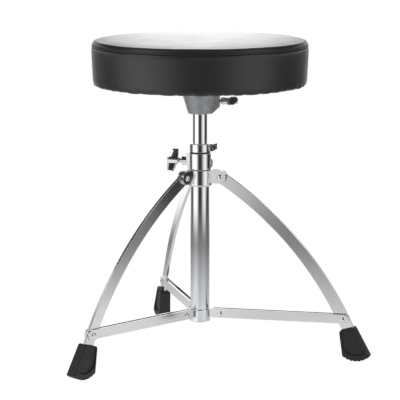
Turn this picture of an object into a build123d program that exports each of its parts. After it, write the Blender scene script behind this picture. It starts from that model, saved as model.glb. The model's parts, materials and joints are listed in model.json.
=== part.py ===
from build123d import *
import os
from math import acos, atan2, cos, degrees, hypot, radians, sin, sqrt

# Folding three-legged drum throne with a round padded seat. Sizes are in millimetres.
# Z is up. The origin is on the floor, in the middle of the box that holds the whole throne, so
# the centre tube, which has the three legs round it, stands a little way off the Z axis.
# Three flat curved legs hang from a casting on the tube. A ring low on the tube carries three
# channel braces, which hold the legs apart. The seat stands on a post that slides in the tube.

os.makedirs("parts", exist_ok=True)

# Where the axis of the centre tube meets the floor
POST_X = -31.92
POST_Y = -31.92

# Running gap between a shaft and the hole that it moves in, and between pieces that only touch
RUNNING_GAP = 0.06
SEAT_GAP = 0.03
SIDE_GAP = 0.25

# Longer than any piece that a hole or a slot goes right through
CUT = 60.0

# Legs: the directions they point in, and the three pivots, as (distance from the axis, height)
LEG_AZIMUTHS = {"right": -15.0, "front": -135.0, "back": 105.0}
LEG_TOP_PIVOT = (31.7, 267.6)
BRACE_INNER_PIVOT = (33.0, 59.0)
BRACE_OUTER_PIVOT = (220.6, 61.0)
LEG_CURVE_RADIUS = 519.0
LEG_DEPTH = 18.2
LEG_THICKNESS = 4.3
LEG_EDGE_CHAMFER = 0.7
LEG_TOP_OVERHANG = 6.0
LEG_END_HEIGHT = 14.0
LEG_END_ROUND = 1.5
LEG_BUSH_RADIUS = 4.0

# Rivets: the shank, then a low conical head
RIVET_RADIUS = 2.9
RIVET_HEAD_RADIUS = 3.8
RIVET_HEAD_TOP = 2.2
RIVET_HEAD_HEIGHT = 1.8

# Centre tube and its end cap
TUBE_RADIUS = 14.3
TUBE_WALL = 1.6
TUBE_BORE = TUBE_RADIUS - TUBE_WALL
TUBE_BOTTOM = 47.6
TUBE_TOP = 297.0
CAP_FLANGE = 1.2
CAP_EDGE = 0.5
CAP_WALL = 2.2
CAP_DEPTH = 12.0

# Upper casting: a collar above, a wider hub with three pairs of ears below
CASTING_BOTTOM = 253.0
CASTING_SHOULDER = 278.5
CASTING_TOP = 303.0
COLLAR_RADIUS = 17.0
HUB_RADIUS = 18.4
CASTING_CHAMFER = 2.4
CASTING_EDGE = 0.8
HUB_SLOPE = 1.4
EAR_BOTTOM = 258.0
EAR_TOP = 278.0
EAR_REACH = 41.2
EAR_WIDTH = 12.0
EAR_SLOT = LEG_THICKNESS + 2 * SIDE_GAP
EAR_SLOT_START = 19.2
EAR_ROUND = 9.4

# Height clamp, opposite the right leg
CLAMP_AZIMUTH = 165.0
CLAMP_HEIGHT = 290.0
CLAMP_BOSS_RADIUS = 6.8
CLAMP_BOSS_REACH = 27.3
CLAMP_PAD = 2.9
CLAMP_PAD_HALF_WIDTH = 8.2
CLAMP_HOLE_RADIUS = 4.2
SHOE_RADIUS = 4.0
SHOE_REACH = TUBE_BORE + 0.4

# Wing bolts: a shank, a neck and a hub with two wings, and the wing's corners along the hub
BOLT_RADIUS = 3.0
BOLT_TIP_EDGE = 0.6
WING_SPAN = 17.7
WING_THICKNESS = 3.6
WING_HUB_RADIUS = 4.8
WING_HUB_EDGE = 1.2
WING_LENGTH = 17.2
WING_TIP_START = 0.7
WING_TIP_END = 8.7
WING_TIP_ROUND = 1.8
WING_ROOT = 1.8

# Screw that locks the casting to the tube, on a low pad
LOCK_SCREW_AZIMUTH = 5.0
LOCK_SCREW_HEIGHT = 287.0
LOCK_SCREW_RADIUS = 2.0
LOCK_SCREW_HEAD_RADIUS = 4.2
LOCK_SCREW_HEAD = 1.1
LOCK_PAD_RADIUS = 6.6
LOCK_PAD_REACH = COLLAR_RADIUS + 0.8

# Sliding post, its guide and the nylon bushing in the tube's mouth
POST_RADIUS = 11.1
POST_WALL = 1.6
POST_BOTTOM = 100.0
POST_TOP = 399.0
PLUG_HEIGHT = 8.0
PLUG_STEM = 14.0
BUSHING_BOTTOM = 262.0
BUSHING_FLANGE = 1.2
BUSHING_FLANGE_RADIUS = 15.6

# Memory ring on the post
MEMORY_BOTTOM = CASTING_TOP + BUSHING_FLANGE + 0.1
MEMORY_HEIGHT = 12.6
MEMORY_RADIUS = 15.9
MEMORY_EDGE = 0.6
MEMORY_LUG_HALF_WIDTH = 5.5
MEMORY_SLIT = 2.0
MEMORY_BOLT_PLACE = (21.2, 8.0)
MEMORY_BOLT_RADIUS = 2.5
MEMORY_BOLT_END = 1.4
MEMORY_HEAD_RADIUS = 4.2
MEMORY_HEAD = 1.2
KEY_WIDTH = 5.6
KEY_LENGTH = 4.2

# Lower ring on the tube
LOWER_HUB_BOTTOM = 47.0
LOWER_HUB_TOP = 65.5
LOWER_HUB_RADIUS = 15.9
LOWER_HUB_EDGE = 0.6
LUG_RADIUS = 6.0
LUG_THICKNESS = EAR_SLOT - 2 * SIDE_GAP

# Braces: pressed channels, open on top
BRACE_WIDTH = 10.8
BRACE_BELOW_PIVOT = 5.5
BRACE_ABOVE_PIVOT = 8.3
BRACE_INNER_OVERHANG = 13.0
BRACE_LOBE_RADIUS = 8.4
BRACE_WEB = 2.0
BRACE_WEB_INNER_CUT = 9.5
BRACE_WEB_OUTER_CUT = 24.0

# Rubber feet
FOOT_RADIUS = 240.6
SOLE_CURVE = 31.0
SOLE_LAND = 0.07
SOLE_START = -129.8
SOLE_END = -48.2
HEEL_ROUND = 9.0
INSTEP_ROUND = 4.0
FOOT_TOP_INNER = (215.2, 44.4)
FOOT_TOP_OUTER = (238.0, 51.0)
FOOT_TOP_WIDTH = 16.0
FOOT_SOLE_WIDTH = 19.0
FOOT_TAPER_HEIGHT = 55.0
FOOT_RIM = 2.8
FOOT_EDGE_CHAMFER = 0.9
FOOT_PANEL_WIDTH = 14.0
SOLE_DEPTH = 8.5
TREAD_GROOVES = 6
TREAD_PITCH = 11.6
TREAD_GROOVE_RADIUS = 1.4
TREAD_RADIUS = SOLE_CURVE + 0.2

# Seat
SEAT_RADIUS = 160.0
SEAT_BOTTOM = 405.0
SEAT_HEM_RADIUS = 158.2
SEAT_SEAM = 462.6
SEAT_RIM_TOP = 471.7
SEAT_CROWN = 475.5
RIM_RADIUS = 148.0
CORNER_RADIUS = 156.2
CORNER_HEIGHT = 470.2
HEM_CHAMFER = 2.2
HEM_FOLD_RADIUS = 133.0
VINYL = 1.2
SEAM_GAP = 1.0
WELT_HALF = 0.95
WELT_DEPTH = 3.0
WELT_OUT = 0.5
DUST_CLOTH = 0.8
FOAM_RADIUS = 156.8
BOARD_RADIUS = 155.0
BOARD_FACE_RADIUS = 46.0
BOARD_THICKNESS = 12.0
FOAM_BOTTOM = SEAT_BOTTOM + BOARD_THICKNESS

# Seat bracket
BRACKET_BOTTOM = 362.0
BRACKET_BOTTOM_RADIUS = 17.9
BRACKET_TOP_RADIUS = 29.5
BRACKET_FLANGE_RADIUS = 45.0
BRACKET_FLANGE = 4.5
BRACKET_EDGE = 0.8
BRACKET_BOSS_REACH = 29.6
BRACKET_BOSS_BOTTOM = 372.8
BRACKET_BOSS_HALF_WIDTH = 8.0
SEAT_BOLT_HEIGHT = 380.4

# Four bolts and tee nuts that hold the bracket to the board
MOUNT_CIRCLE = 37.0
MOUNT_COUNT = 4
MOUNT_TURN = 45.0
MOUNT_HEAD_RADIUS = 5.4
MOUNT_HEAD = 3.6
TEE_NUT_RADIUS = 4.0
TEE_NUT_TIP = 2.0
TEE_NUT_FLANGE = 1.2
TEE_NUT_FLANGE_RADIUS = 9.0
TEE_NUT_ROOM = 0.5
MOUNT_BOLT_RADIUS = 3.0


POST = Vector(POST_X, POST_Y, 0)
POST_AXIS = Axis((POST_X, POST_Y, 0), (0, 0, 1))
SECTION = Plane(origin=(POST_X, POST_Y, 0), x_dir=(1, 0, 0), z_dir=(0, -1, 0))


def level(height):
    """Horizontal plane at a height, with its origin on the post's axis."""
    return Plane(origin=(POST_X, POST_Y, height))


def direction(azimuth):
    """Unit vector that points outwards from the axis, in the floor plane."""
    return Vector(cos(radians(azimuth)), sin(radians(azimuth)), 0)


def side_plane(azimuth, height=0.0, turn=0.0):
    """Plane through the axis: local X points outwards, and local Y points up, turned about X."""
    outward = direction(azimuth)
    across = Vector(0, 0, 1).rotate(Axis((0, 0, 0), outward), turn)
    origin = POST + Vector(0, 0, height)
    return Plane(origin=origin, x_dir=outward, z_dir=outward.cross(across))


def facing_plane(azimuth, height, distance=0.0):
    """Plane that faces outwards: local X runs round the object, and local Y points up."""
    outward = direction(azimuth)
    around = Vector(-outward.Y, outward.X, 0)
    origin = POST + outward * distance + Vector(0, 0, height)
    return Plane(origin=origin, x_dir=around, z_dir=outward)


def leg_curve_centre():
    """Centre of the leg's curve, on the axis side of the line between its two pivots."""
    (r1, z1), (r2, z2) = LEG_TOP_PIVOT, BRACE_OUTER_PIVOT
    chord = hypot(r2 - r1, z2 - z1)
    rise = sqrt(LEG_CURVE_RADIUS**2 - chord**2 / 4)
    return (r1 + r2) / 2 + rise * (z2 - z1) / chord, (z1 + z2) / 2 - rise * (r2 - r1) / chord


LEG_CENTRE = leg_curve_centre()


def leg_angle(pivot):
    """Angle, in degrees, of a point seen from the centre of the leg's curve."""
    return degrees(atan2(pivot[1] - LEG_CENTRE[1], pivot[0] - LEG_CENTRE[0]))


LEG_TOP_ANGLE = leg_angle(LEG_TOP_PIVOT) + degrees(LEG_TOP_OVERHANG / LEG_CURVE_RADIUS)
LEG_END_ANGLE = 90.0 - degrees(acos((LEG_END_HEIGHT - LEG_CENTRE[1]) / LEG_CURVE_RADIUS))


def leg_outline(azimuth):
    """Side view of a leg: a band between two arcs with one centre."""
    outer = LEG_CURVE_RADIUS + LEG_DEPTH / 2
    inner = LEG_CURVE_RADIUS - LEG_DEPTH / 2
    sweep = LEG_TOP_ANGLE - LEG_END_ANGLE
    with BuildSketch(side_plane(azimuth)) as outline:
        with BuildLine():
            far = CenterArc(LEG_CENTRE, outer, LEG_END_ANGLE, sweep)
            near = CenterArc(LEG_CENTRE, inner, LEG_END_ANGLE, sweep)
            Line(far @ 1, near @ 1)
            Line(near @ 0, far @ 0)
        make_face()
        fillet(outline.vertices(), LEG_END_ROUND)
    return outline.sketch


def disc_on(plane, centre, radius):
    """A round sketch on a plane."""
    with BuildSketch(plane) as disc:
        with Locations(centre):
            Circle(radius)
    return disc.sketch


def rivet_profile(plane, inner, outer):
    """Half section of a rivet end: a shank from inner to outer, then a low conical head."""
    with BuildSketch(plane) as half:
        with BuildLine():
            Polyline(
                (0, outer + RIVET_HEAD_HEIGHT),
                (0, inner),
                (RIVET_RADIUS, inner),
                (RIVET_RADIUS, outer),
                (RIVET_HEAD_RADIUS, outer),
                (RIVET_HEAD_TOP, outer + RIVET_HEAD_HEIGHT),
                close=True,
            )
        make_face()
    return half.sketch


def rivet_end(azimuth, pivot, side, inner, outer):
    """Adds one end of a rivet to the part being built. side is 1 or -1, across the leg."""
    outward = direction(azimuth)
    across = Vector(outward.Y, -outward.X, 0) * side
    centre = POST + outward * pivot[0] + Vector(0, 0, pivot[1])
    plane = Plane(origin=centre, x_dir=outward, z_dir=outward.cross(across))
    revolve(rivet_profile(plane, inner, outer), axis=Axis(centre, across))


def brace_plane(azimuth):
    """Plane of a brace: its origin is the inner pivot, and local X runs to the outer pivot."""
    outward = direction(azimuth)
    (r1, z1), (r2, z2) = BRACE_INNER_PIVOT, BRACE_OUTER_PIVOT
    along = (outward * (r2 - r1) + Vector(0, 0, z2 - z1)).normalized()
    across = Vector(outward.Y, -outward.X, 0)
    return Plane(origin=POST + outward * r1 + Vector(0, 0, z1), x_dir=along, z_dir=across)


BRACE_LENGTH = hypot(
    BRACE_OUTER_PIVOT[0] - BRACE_INNER_PIVOT[0], BRACE_OUTER_PIVOT[1] - BRACE_INNER_PIVOT[1]
)


def wing_outline(plane, inner, outer):
    """Two wings that lean opposite ways, each the other turned half way round."""
    middle = (inner + outer) / 2
    wing = [
        (inner, 0),
        (inner + WING_TIP_START, WING_SPAN),
        (inner + WING_TIP_END, WING_SPAN),
        (outer, WING_ROOT),
        (outer, 0),
    ]
    with BuildSketch(plane) as outline:
        for turn in (1, -1):
            with BuildLine():
                Polyline([(middle + turn * (x - middle), turn * y) for x, y in wing], close=True)
            make_face()
        tips = outline.vertices().filter_by(lambda corner: abs(corner.Y) > WING_SPAN / 2)
        fillet(tips, WING_TIP_ROUND)
    return outline.sketch


def wing_bolt(azimuth, height, tip, neck, neck_radius, inner, turn):
    """Wing bolt that points at the axis. tip, neck and inner are distances from the axis: of its
    tip, of where its neck starts, and of its wings. turn is how far its wings are turned."""
    outer = inner + WING_LENGTH
    plane = side_plane(azimuth, height)
    with BuildPart() as bolt:
        with BuildSketch(plane):
            with BuildLine():
                Polyline(
                    (tip, 0),
                    (tip, BOLT_RADIUS - BOLT_TIP_EDGE),
                    (tip + BOLT_TIP_EDGE, BOLT_RADIUS),
                    (neck, BOLT_RADIUS),
                    (neck, neck_radius),
                    (inner, WING_HUB_RADIUS),
                    (outer - WING_HUB_EDGE, WING_HUB_RADIUS),
                    (outer, WING_HUB_RADIUS - WING_HUB_EDGE),
                    (outer, 0),
                    close=True,
                )
            make_face()
        revolve(axis=Axis(plane.origin, direction(azimuth)))
        wings = wing_outline(side_plane(azimuth, height, turn), inner, outer - WING_HUB_EDGE)
        extrude(wings, amount=WING_THICKNESS / 2, both=True)
    return bolt


def save(piece, name):
    """Labels a finished piece and writes its STEP file."""
    piece.part.label = name
    export_step(piece.part, f"parts/{name}.step")


# Centre tube, with a hole for the height bolt and one for the lock screw
with BuildPart() as outer_tube:
    with BuildSketch(level(TUBE_BOTTOM)):
        Circle(TUBE_RADIUS)
        Circle(TUBE_BORE, mode=Mode.SUBTRACT)
    extrude(amount=TUBE_TOP - TUBE_BOTTOM)
    with BuildSketch(facing_plane(CLAMP_AZIMUTH, CLAMP_HEIGHT)):
        Circle(CLAMP_HOLE_RADIUS)
    extrude(amount=CUT, mode=Mode.SUBTRACT)
    with BuildSketch(facing_plane(LOCK_SCREW_AZIMUTH, LOCK_SCREW_HEIGHT)):
        Circle(LOCK_SCREW_RADIUS + SEAT_GAP)
    extrude(amount=CUT, mode=Mode.SUBTRACT)
save(outer_tube, "outer_tube")

# Plug that closes the tube's lower end
with BuildPart() as tube_end_cap:
    with BuildSketch(level(TUBE_BOTTOM)):
        Circle(TUBE_RADIUS - SEAT_GAP)
    extrude(amount=-CAP_FLANGE)
    chamfer(tube_end_cap.faces().sort_by(Axis.Z)[0].edges(), CAP_EDGE)
    with BuildSketch(level(TUBE_BOTTOM)):
        Circle(TUBE_BORE - SEAT_GAP)
        Circle(TUBE_BORE - CAP_WALL, mode=Mode.SUBTRACT)
    extrude(amount=CAP_DEPTH)
save(tube_end_cap, "tube_end_cap")

# Upper casting
with BuildPart() as upper_casting:
    with BuildSketch(SECTION):
        with BuildLine():
            Polyline(
                (0, CASTING_BOTTOM),
                (HUB_RADIUS - CASTING_CHAMFER, CASTING_BOTTOM),
                (HUB_RADIUS, CASTING_BOTTOM + CASTING_CHAMFER),
                (HUB_RADIUS, CASTING_SHOULDER - HUB_SLOPE),
                (COLLAR_RADIUS, CASTING_SHOULDER),
                (COLLAR_RADIUS, CASTING_TOP - CASTING_EDGE),
                (COLLAR_RADIUS - CASTING_EDGE, CASTING_TOP),
                (0, CASTING_TOP),
                close=True,
            )
        make_face()
    revolve(axis=POST_AXIS)
    for azimuth in LEG_AZIMUTHS.values():
        with BuildSketch(side_plane(azimuth)) as ear:
            with Locations((0, EAR_BOTTOM)):
                Rectangle(EAR_REACH, EAR_TOP - EAR_BOTTOM, align=Align.MIN)
            fillet(ear.vertices().group_by(Axis.X)[-1], EAR_ROUND)
        extrude(amount=EAR_WIDTH / 2, both=True)
        with BuildSketch(side_plane(azimuth)):
            with Locations((EAR_SLOT_START, EAR_TOP)):
                Rectangle(CUT, CUT, align=(Align.MIN, Align.CENTER))
        extrude(amount=EAR_SLOT / 2, both=True, mode=Mode.SUBTRACT)
        hole = disc_on(side_plane(azimuth), LEG_TOP_PIVOT, RIVET_RADIUS + SEAT_GAP)
        extrude(hole, amount=EAR_WIDTH, both=True, mode=Mode.SUBTRACT)
    # boss for the height bolt, on a pad that dies away downwards
    with BuildSketch(facing_plane(CLAMP_AZIMUTH, CLAMP_HEIGHT)):
        Circle(CLAMP_BOSS_RADIUS)
    extrude(amount=CLAMP_BOSS_REACH)
    with BuildSketch(side_plane(CLAMP_AZIMUTH)):
        with BuildLine():
            Polyline(
                (0, CASTING_SHOULDER - CASTING_EDGE),
                (HUB_RADIUS - CASTING_EDGE, CASTING_SHOULDER - CASTING_EDGE),
                (COLLAR_RADIUS + CLAMP_PAD, CASTING_TOP - CASTING_EDGE),
                (COLLAR_RADIUS + CLAMP_PAD - CASTING_EDGE, CASTING_TOP),
                (0, CASTING_TOP),
                close=True,
            )
        make_face()
    extrude(amount=CLAMP_PAD_HALF_WIDTH, both=True)
    # low pad for the lock screw
    with BuildSketch(facing_plane(LOCK_SCREW_AZIMUTH, LOCK_SCREW_HEIGHT)):
        Circle(LOCK_PAD_RADIUS)
    extrude(amount=LOCK_PAD_REACH)
    # bore for the tube, a smaller mouth for the bushing, and the two cross holes
    with BuildSketch(level(TUBE_TOP)):
        Circle(TUBE_RADIUS)
    extrude(amount=-CUT, mode=Mode.SUBTRACT)
    with BuildSketch(level(CASTING_TOP)):
        Circle(TUBE_BORE + SEAT_GAP)
    extrude(amount=-CUT, mode=Mode.SUBTRACT)
    with BuildSketch(facing_plane(CLAMP_AZIMUTH, CLAMP_HEIGHT)):
        Circle(BOLT_RADIUS + RUNNING_GAP)
    extrude(amount=CUT, mode=Mode.SUBTRACT)
    with BuildSketch(facing_plane(LOCK_SCREW_AZIMUTH, LOCK_SCREW_HEIGHT)):
        Circle(LOCK_SCREW_RADIUS + SEAT_GAP)
    extrude(amount=CUT, mode=Mode.SUBTRACT)
save(upper_casting, "upper_casting")

# Screw that locks the casting to the tube
with BuildPart() as casting_lock_screw:
    head = facing_plane(LOCK_SCREW_AZIMUTH, LOCK_SCREW_HEIGHT, LOCK_PAD_REACH)
    with BuildSketch(head):
        Circle(LOCK_SCREW_RADIUS)
    extrude(amount=TUBE_BORE + RUNNING_GAP - LOCK_PAD_REACH)
    with BuildSketch(head):
        Circle(LOCK_SCREW_HEAD_RADIUS)
    extrude(amount=LOCK_SCREW_HEAD)
save(casting_lock_screw, "casting_lock_screw")

# Nylon bushing that guides the post
with BuildPart() as post_bushing:
    with BuildSketch(SECTION):
        with BuildLine():
            Polyline(
                (POST_RADIUS + RUNNING_GAP, BUSHING_BOTTOM),
                (TUBE_BORE - SEAT_GAP, BUSHING_BOTTOM),
                (TUBE_BORE - SEAT_GAP, CASTING_TOP),
                (BUSHING_FLANGE_RADIUS, CASTING_TOP),
                (BUSHING_FLANGE_RADIUS, CASTING_TOP + BUSHING_FLANGE),
                (POST_RADIUS + RUNNING_GAP, CASTING_TOP + BUSHING_FLANGE),
                close=True,
            )
        make_face()
    revolve(axis=POST_AXIS)
    with BuildSketch(facing_plane(CLAMP_AZIMUTH, CLAMP_HEIGHT)):
        Circle(SHOE_RADIUS + RUNNING_GAP)
    extrude(amount=CUT, mode=Mode.SUBTRACT)
save(post_bushing, "post_bushing")

# Pad between the height bolt and the post, hollowed to fit round the post
with BuildPart() as clamp_shoe:
    with BuildSketch(facing_plane(CLAMP_AZIMUTH, CLAMP_HEIGHT)):
        Circle(SHOE_RADIUS)
    extrude(amount=SHOE_REACH)
    with BuildSketch(level(CLAMP_HEIGHT)):
        Circle(POST_RADIUS + RUNNING_GAP)
    extrude(amount=CUT, both=True, mode=Mode.SUBTRACT)
save(clamp_shoe, "clamp_shoe")

# Wing bolt for the height, with a slim neck, which stands just clear of the boss
height_wing_bolt = wing_bolt(
    CLAMP_AZIMUTH,
    CLAMP_HEIGHT,
    tip=SHOE_REACH + 0.2,
    neck=CLAMP_BOSS_REACH + 0.4,
    neck_radius=3.5,
    inner=33.8,
    turn=20.0,
)
save(height_wing_bolt, "height_wing_bolt")

# Wing bolt for the seat, with a collar, and its wings almost level
seat_wing_bolt = wing_bolt(
    0.0,
    SEAT_BOLT_HEIGHT,
    tip=POST_RADIUS + 0.3,
    neck=BRACKET_BOSS_REACH + 1.6,
    neck_radius=5.4,
    inner=39.6,
    turn=102.0,
)
save(seat_wing_bolt, "seat_wing_bolt")

# Rivet ends in the casting's ears, in line with their inner faces
with BuildPart() as upper_leg_rivets:
    for azimuth in LEG_AZIMUTHS.values():
        for side in (1, -1):
            rivet_end(azimuth, LEG_TOP_PIVOT, side, EAR_SLOT / 2, EAR_WIDTH / 2)
save(upper_leg_rivets, "upper_leg_rivets")

# Ring that slides on the tube, with three lugs for the braces
with BuildPart() as lower_hub:
    with BuildSketch(level(LOWER_HUB_BOTTOM)):
        Circle(LOWER_HUB_RADIUS)
    extrude(amount=LOWER_HUB_TOP - LOWER_HUB_BOTTOM)
    chamfer(lower_hub.edges().filter_by(GeomType.CIRCLE), LOWER_HUB_EDGE)
    for azimuth in LEG_AZIMUTHS.values():
        with BuildSketch(side_plane(azimuth)):
            with Locations(BRACE_INNER_PIVOT):
                lug_size = (BRACE_INNER_PIVOT[0], 2 * LUG_RADIUS)
                Rectangle(*lug_size, align=(Align.MAX, Align.CENTER))
                Circle(LUG_RADIUS)
        extrude(amount=LUG_THICKNESS / 2, both=True)
        hole = disc_on(side_plane(azimuth), BRACE_INNER_PIVOT, RIVET_RADIUS + RUNNING_GAP)
        extrude(hole, amount=LUG_THICKNESS, both=True, mode=Mode.SUBTRACT)
    with BuildSketch(level(LOWER_HUB_BOTTOM)):
        Circle(TUBE_RADIUS + RUNNING_GAP)
    extrude(amount=CUT, mode=Mode.SUBTRACT)
save(lower_hub, "lower_hub")

# Legs, with their bushes, feet, braces and rivets
for name, azimuth in LEG_AZIMUTHS.items():
    plane = side_plane(azimuth)

    with BuildPart() as leg:
        extrude(leg_outline(azimuth), amount=LEG_THICKNESS / 2, both=True)
        chamfer(leg.edges().sort_by(SortBy.LENGTH)[-4:], LEG_EDGE_CHAMFER)
        top_hole = disc_on(plane, LEG_TOP_PIVOT, LEG_BUSH_RADIUS + SEAT_GAP)
        extrude(top_hole, amount=LEG_THICKNESS, both=True, mode=Mode.SUBTRACT)
        brace_hole = disc_on(plane, BRACE_OUTER_PIVOT, RIVET_RADIUS + RUNNING_GAP)
        extrude(brace_hole, amount=LEG_THICKNESS, both=True, mode=Mode.SUBTRACT)
    save(leg, f"leg_{name}")

    with BuildPart() as leg_bush:
        extrude(disc_on(plane, LEG_TOP_PIVOT, LEG_BUSH_RADIUS), LEG_THICKNESS / 2, both=True)
        bore = disc_on(plane, LEG_TOP_PIVOT, RIVET_RADIUS + RUNNING_GAP)
        extrude(bore, amount=LEG_THICKNESS, both=True, mode=Mode.SUBTRACT)
    save(leg_bush, f"leg_bush_{name}")

    with BuildPart() as foot:
        with BuildSketch(plane) as boot:
            sole_centre = (FOOT_RADIUS, SOLE_CURVE - SOLE_LAND)
            with BuildLine():
                sole = CenterArc(sole_centre, SOLE_CURVE, SOLE_START, SOLE_END - SOLE_START)
                Polyline(
                    sole @ 0,
                    FOOT_TOP_INNER,
                    FOOT_TOP_OUTER,
                    sole @ 1,
                )
            make_face()
            instep = boot.vertices().sort_by(Axis.Y)[-2:]
            heel = boot.vertices().sort_by(Axis.Y)[:2].sort_by(Axis.X)[0]
            fillet(instep, INSTEP_ROUND)
            fillet(heel, HEEL_ROUND)
        extrude(amount=FOOT_SOLE_WIDTH / 2, both=True)
        # narrower at the top than at the sole, and cut flat where it stands on the floor
        with BuildSketch(facing_plane(azimuth, 0.0, FOOT_RADIUS)):
            with BuildLine():
                Polyline(
                    (-FOOT_SOLE_WIDTH / 2, 0),
                    (FOOT_SOLE_WIDTH / 2, 0),
                    (FOOT_TOP_WIDTH / 2, FOOT_TAPER_HEIGHT),
                    (-FOOT_TOP_WIDTH / 2, FOOT_TAPER_HEIGHT),
                    close=True,
                )
            make_face()
        extrude(amount=CUT, both=True, mode=Mode.INTERSECT)
        chamfer(foot.faces().group_by(SortBy.AREA)[-1].edges(), FOOT_EDGE_CHAMFER)
        # sunk panel on both sides, with a rim round it and the thick sole below it
        with BuildSketch(plane, mode=Mode.PRIVATE) as panel:
            with Locations(sole_centre):
                Circle(SOLE_CURVE - SOLE_DEPTH)
                Rectangle(2 * (SOLE_CURVE - SOLE_DEPTH), CUT, align=(Align.CENTER, Align.MIN))
            offset(boot.sketch_local, amount=-FOOT_RIM, mode=Mode.INTERSECT)
        for side in (1, -1):
            with BuildSketch(plane.offset(side * FOOT_PANEL_WIDTH / 2)):
                add(panel.sketch_local)
            extrude(amount=side * FOOT_SOLE_WIDTH, mode=Mode.SUBTRACT)
        # cross grooves of the tread, spaced evenly round the sole
        for step in range(TREAD_GROOVES):
            angle = radians(TREAD_PITCH * (step - (TREAD_GROOVES - 1) / 2) - 90)
            groove = (
                sole_centre[0] + TREAD_RADIUS * cos(angle),
                sole_centre[1] + TREAD_RADIUS * sin(angle),
            )
            channel = disc_on(plane, groove, TREAD_GROOVE_RADIUS)
            extrude(channel, amount=CUT, both=True, mode=Mode.SUBTRACT)
        # pocket that the leg is pushed into
        extrude(leg_outline(azimuth), LEG_THICKNESS / 2, both=True, mode=Mode.SUBTRACT)
    save(foot, f"foot_{name}")

    along = brace_plane(azimuth)
    size = (BRACE_LENGTH + BRACE_INNER_OVERHANG, BRACE_ABOVE_PIVOT + BRACE_BELOW_PIVOT)
    with BuildPart() as brace:
        with BuildSketch(along):
            with Locations((-BRACE_INNER_OVERHANG, -BRACE_BELOW_PIVOT)):
                Rectangle(*size, align=Align.MIN)
            with Locations((BRACE_LENGTH, 0)):
                Circle(BRACE_LOBE_RADIUS)
        extrude(amount=BRACE_WIDTH / 2, both=True)
        # the web is left out at both ends, where the lug and the leg swing between the walls
        with BuildSketch(along):
            with Locations((BRACE_LENGTH / 2, BRACE_WEB - BRACE_BELOW_PIVOT)):
                Rectangle(2 * BRACE_LENGTH, CUT, align=(Align.CENTER, Align.MIN))
            with Locations((BRACE_WEB_INNER_CUT, 0)):
                Rectangle(CUT, CUT, align=(Align.MAX, Align.CENTER))
            with Locations((BRACE_LENGTH - BRACE_WEB_OUTER_CUT, 0)):
                Rectangle(CUT, CUT, align=(Align.MIN, Align.CENTER))
        extrude(amount=EAR_SLOT / 2, both=True, mode=Mode.SUBTRACT)
        for pivot in (BRACE_INNER_PIVOT, BRACE_OUTER_PIVOT):
            hole = disc_on(plane, pivot, RIVET_RADIUS + SEAT_GAP)
            extrude(hole, amount=BRACE_WIDTH, both=True, mode=Mode.SUBTRACT)
    save(brace, f"brace_{name}")

    with BuildPart() as brace_rivets:
        for pivot in (BRACE_INNER_PIVOT, BRACE_OUTER_PIVOT):
            for side in (1, -1):
                rivet_end(azimuth, pivot, side, 0.0, BRACE_WIDTH / 2)
    save(brace_rivets, f"brace_rivets_{name}")

# Sliding post and the plug that guides its lower end
with BuildPart() as inner_post:
    with BuildSketch(level(POST_BOTTOM)):
        Circle(POST_RADIUS)
        Circle(POST_RADIUS - POST_WALL, mode=Mode.SUBTRACT)
    extrude(amount=POST_TOP - POST_BOTTOM)
save(inner_post, "inner_post")

with BuildPart() as post_guide_plug:
    with BuildSketch(level(POST_BOTTOM)):
        Circle(TUBE_BORE - RUNNING_GAP)
    extrude(amount=-PLUG_HEIGHT)
    with BuildSketch(level(POST_BOTTOM)):
        Circle(POST_RADIUS - POST_WALL - SEAT_GAP)
    extrude(amount=PLUG_STEM)
save(post_guide_plug, "post_guide_plug")

# Memory ring: a split ring whose two jaws are drawn together by a bolt
with BuildPart() as memory_lock:
    with BuildSketch(level(MEMORY_BOTTOM)):
        Circle(MEMORY_RADIUS)
    extrude(amount=MEMORY_HEIGHT)
    chamfer(memory_lock.edges().filter_by(GeomType.CIRCLE), MEMORY_EDGE)
    # the lug, drawn as (distance from the axis, height above the ring's lower face)
    with BuildSketch(side_plane(0.0, MEMORY_BOTTOM)):
        with BuildLine():
            Polyline(
                (0, 0.6),
                (18.6, 1.2),
                (25.6, 4.6),
                (25.6, 13.6),
                (20.8, 12.0),
                (0, 12.0),
                close=True,
            )
        make_face()
    extrude(amount=MEMORY_LUG_HALF_WIDTH, both=True)
    with BuildSketch(level(MEMORY_BOTTOM)):
        Circle(POST_RADIUS + RUNNING_GAP)
        Rectangle(CUT, MEMORY_SLIT, align=(Align.MIN, Align.CENTER))
    extrude(amount=CUT, mode=Mode.SUBTRACT)
    bolt_hole = disc_on(
        side_plane(0.0, MEMORY_BOTTOM), MEMORY_BOLT_PLACE, MEMORY_BOLT_RADIUS + RUNNING_GAP
    )
    extrude(bolt_hole, amount=CUT, both=True, mode=Mode.SUBTRACT)
save(memory_lock, "memory_lock")

# Square-headed bolt that closes the ring, with its collar against the lug
memory_bolt_face = side_plane(0.0, MEMORY_BOTTOM).offset(MEMORY_LUG_HALF_WIDTH + SEAT_GAP)
with BuildPart() as memory_key_bolt:
    with BuildSketch(memory_bolt_face):
        with Locations(MEMORY_BOLT_PLACE):
            Circle(MEMORY_BOLT_RADIUS)
    extrude(amount=-(2 * MEMORY_LUG_HALF_WIDTH + MEMORY_BOLT_END))
    with BuildSketch(memory_bolt_face):
        with Locations(MEMORY_BOLT_PLACE):
            Circle(MEMORY_HEAD_RADIUS)
    extrude(amount=MEMORY_HEAD)
    with BuildSketch(memory_bolt_face.offset(MEMORY_HEAD)):
        with Locations(MEMORY_BOLT_PLACE):
            Rectangle(KEY_WIDTH, KEY_WIDTH)
    extrude(amount=KEY_LENGTH)
save(memory_key_bolt, "memory_key_bolt")

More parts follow.
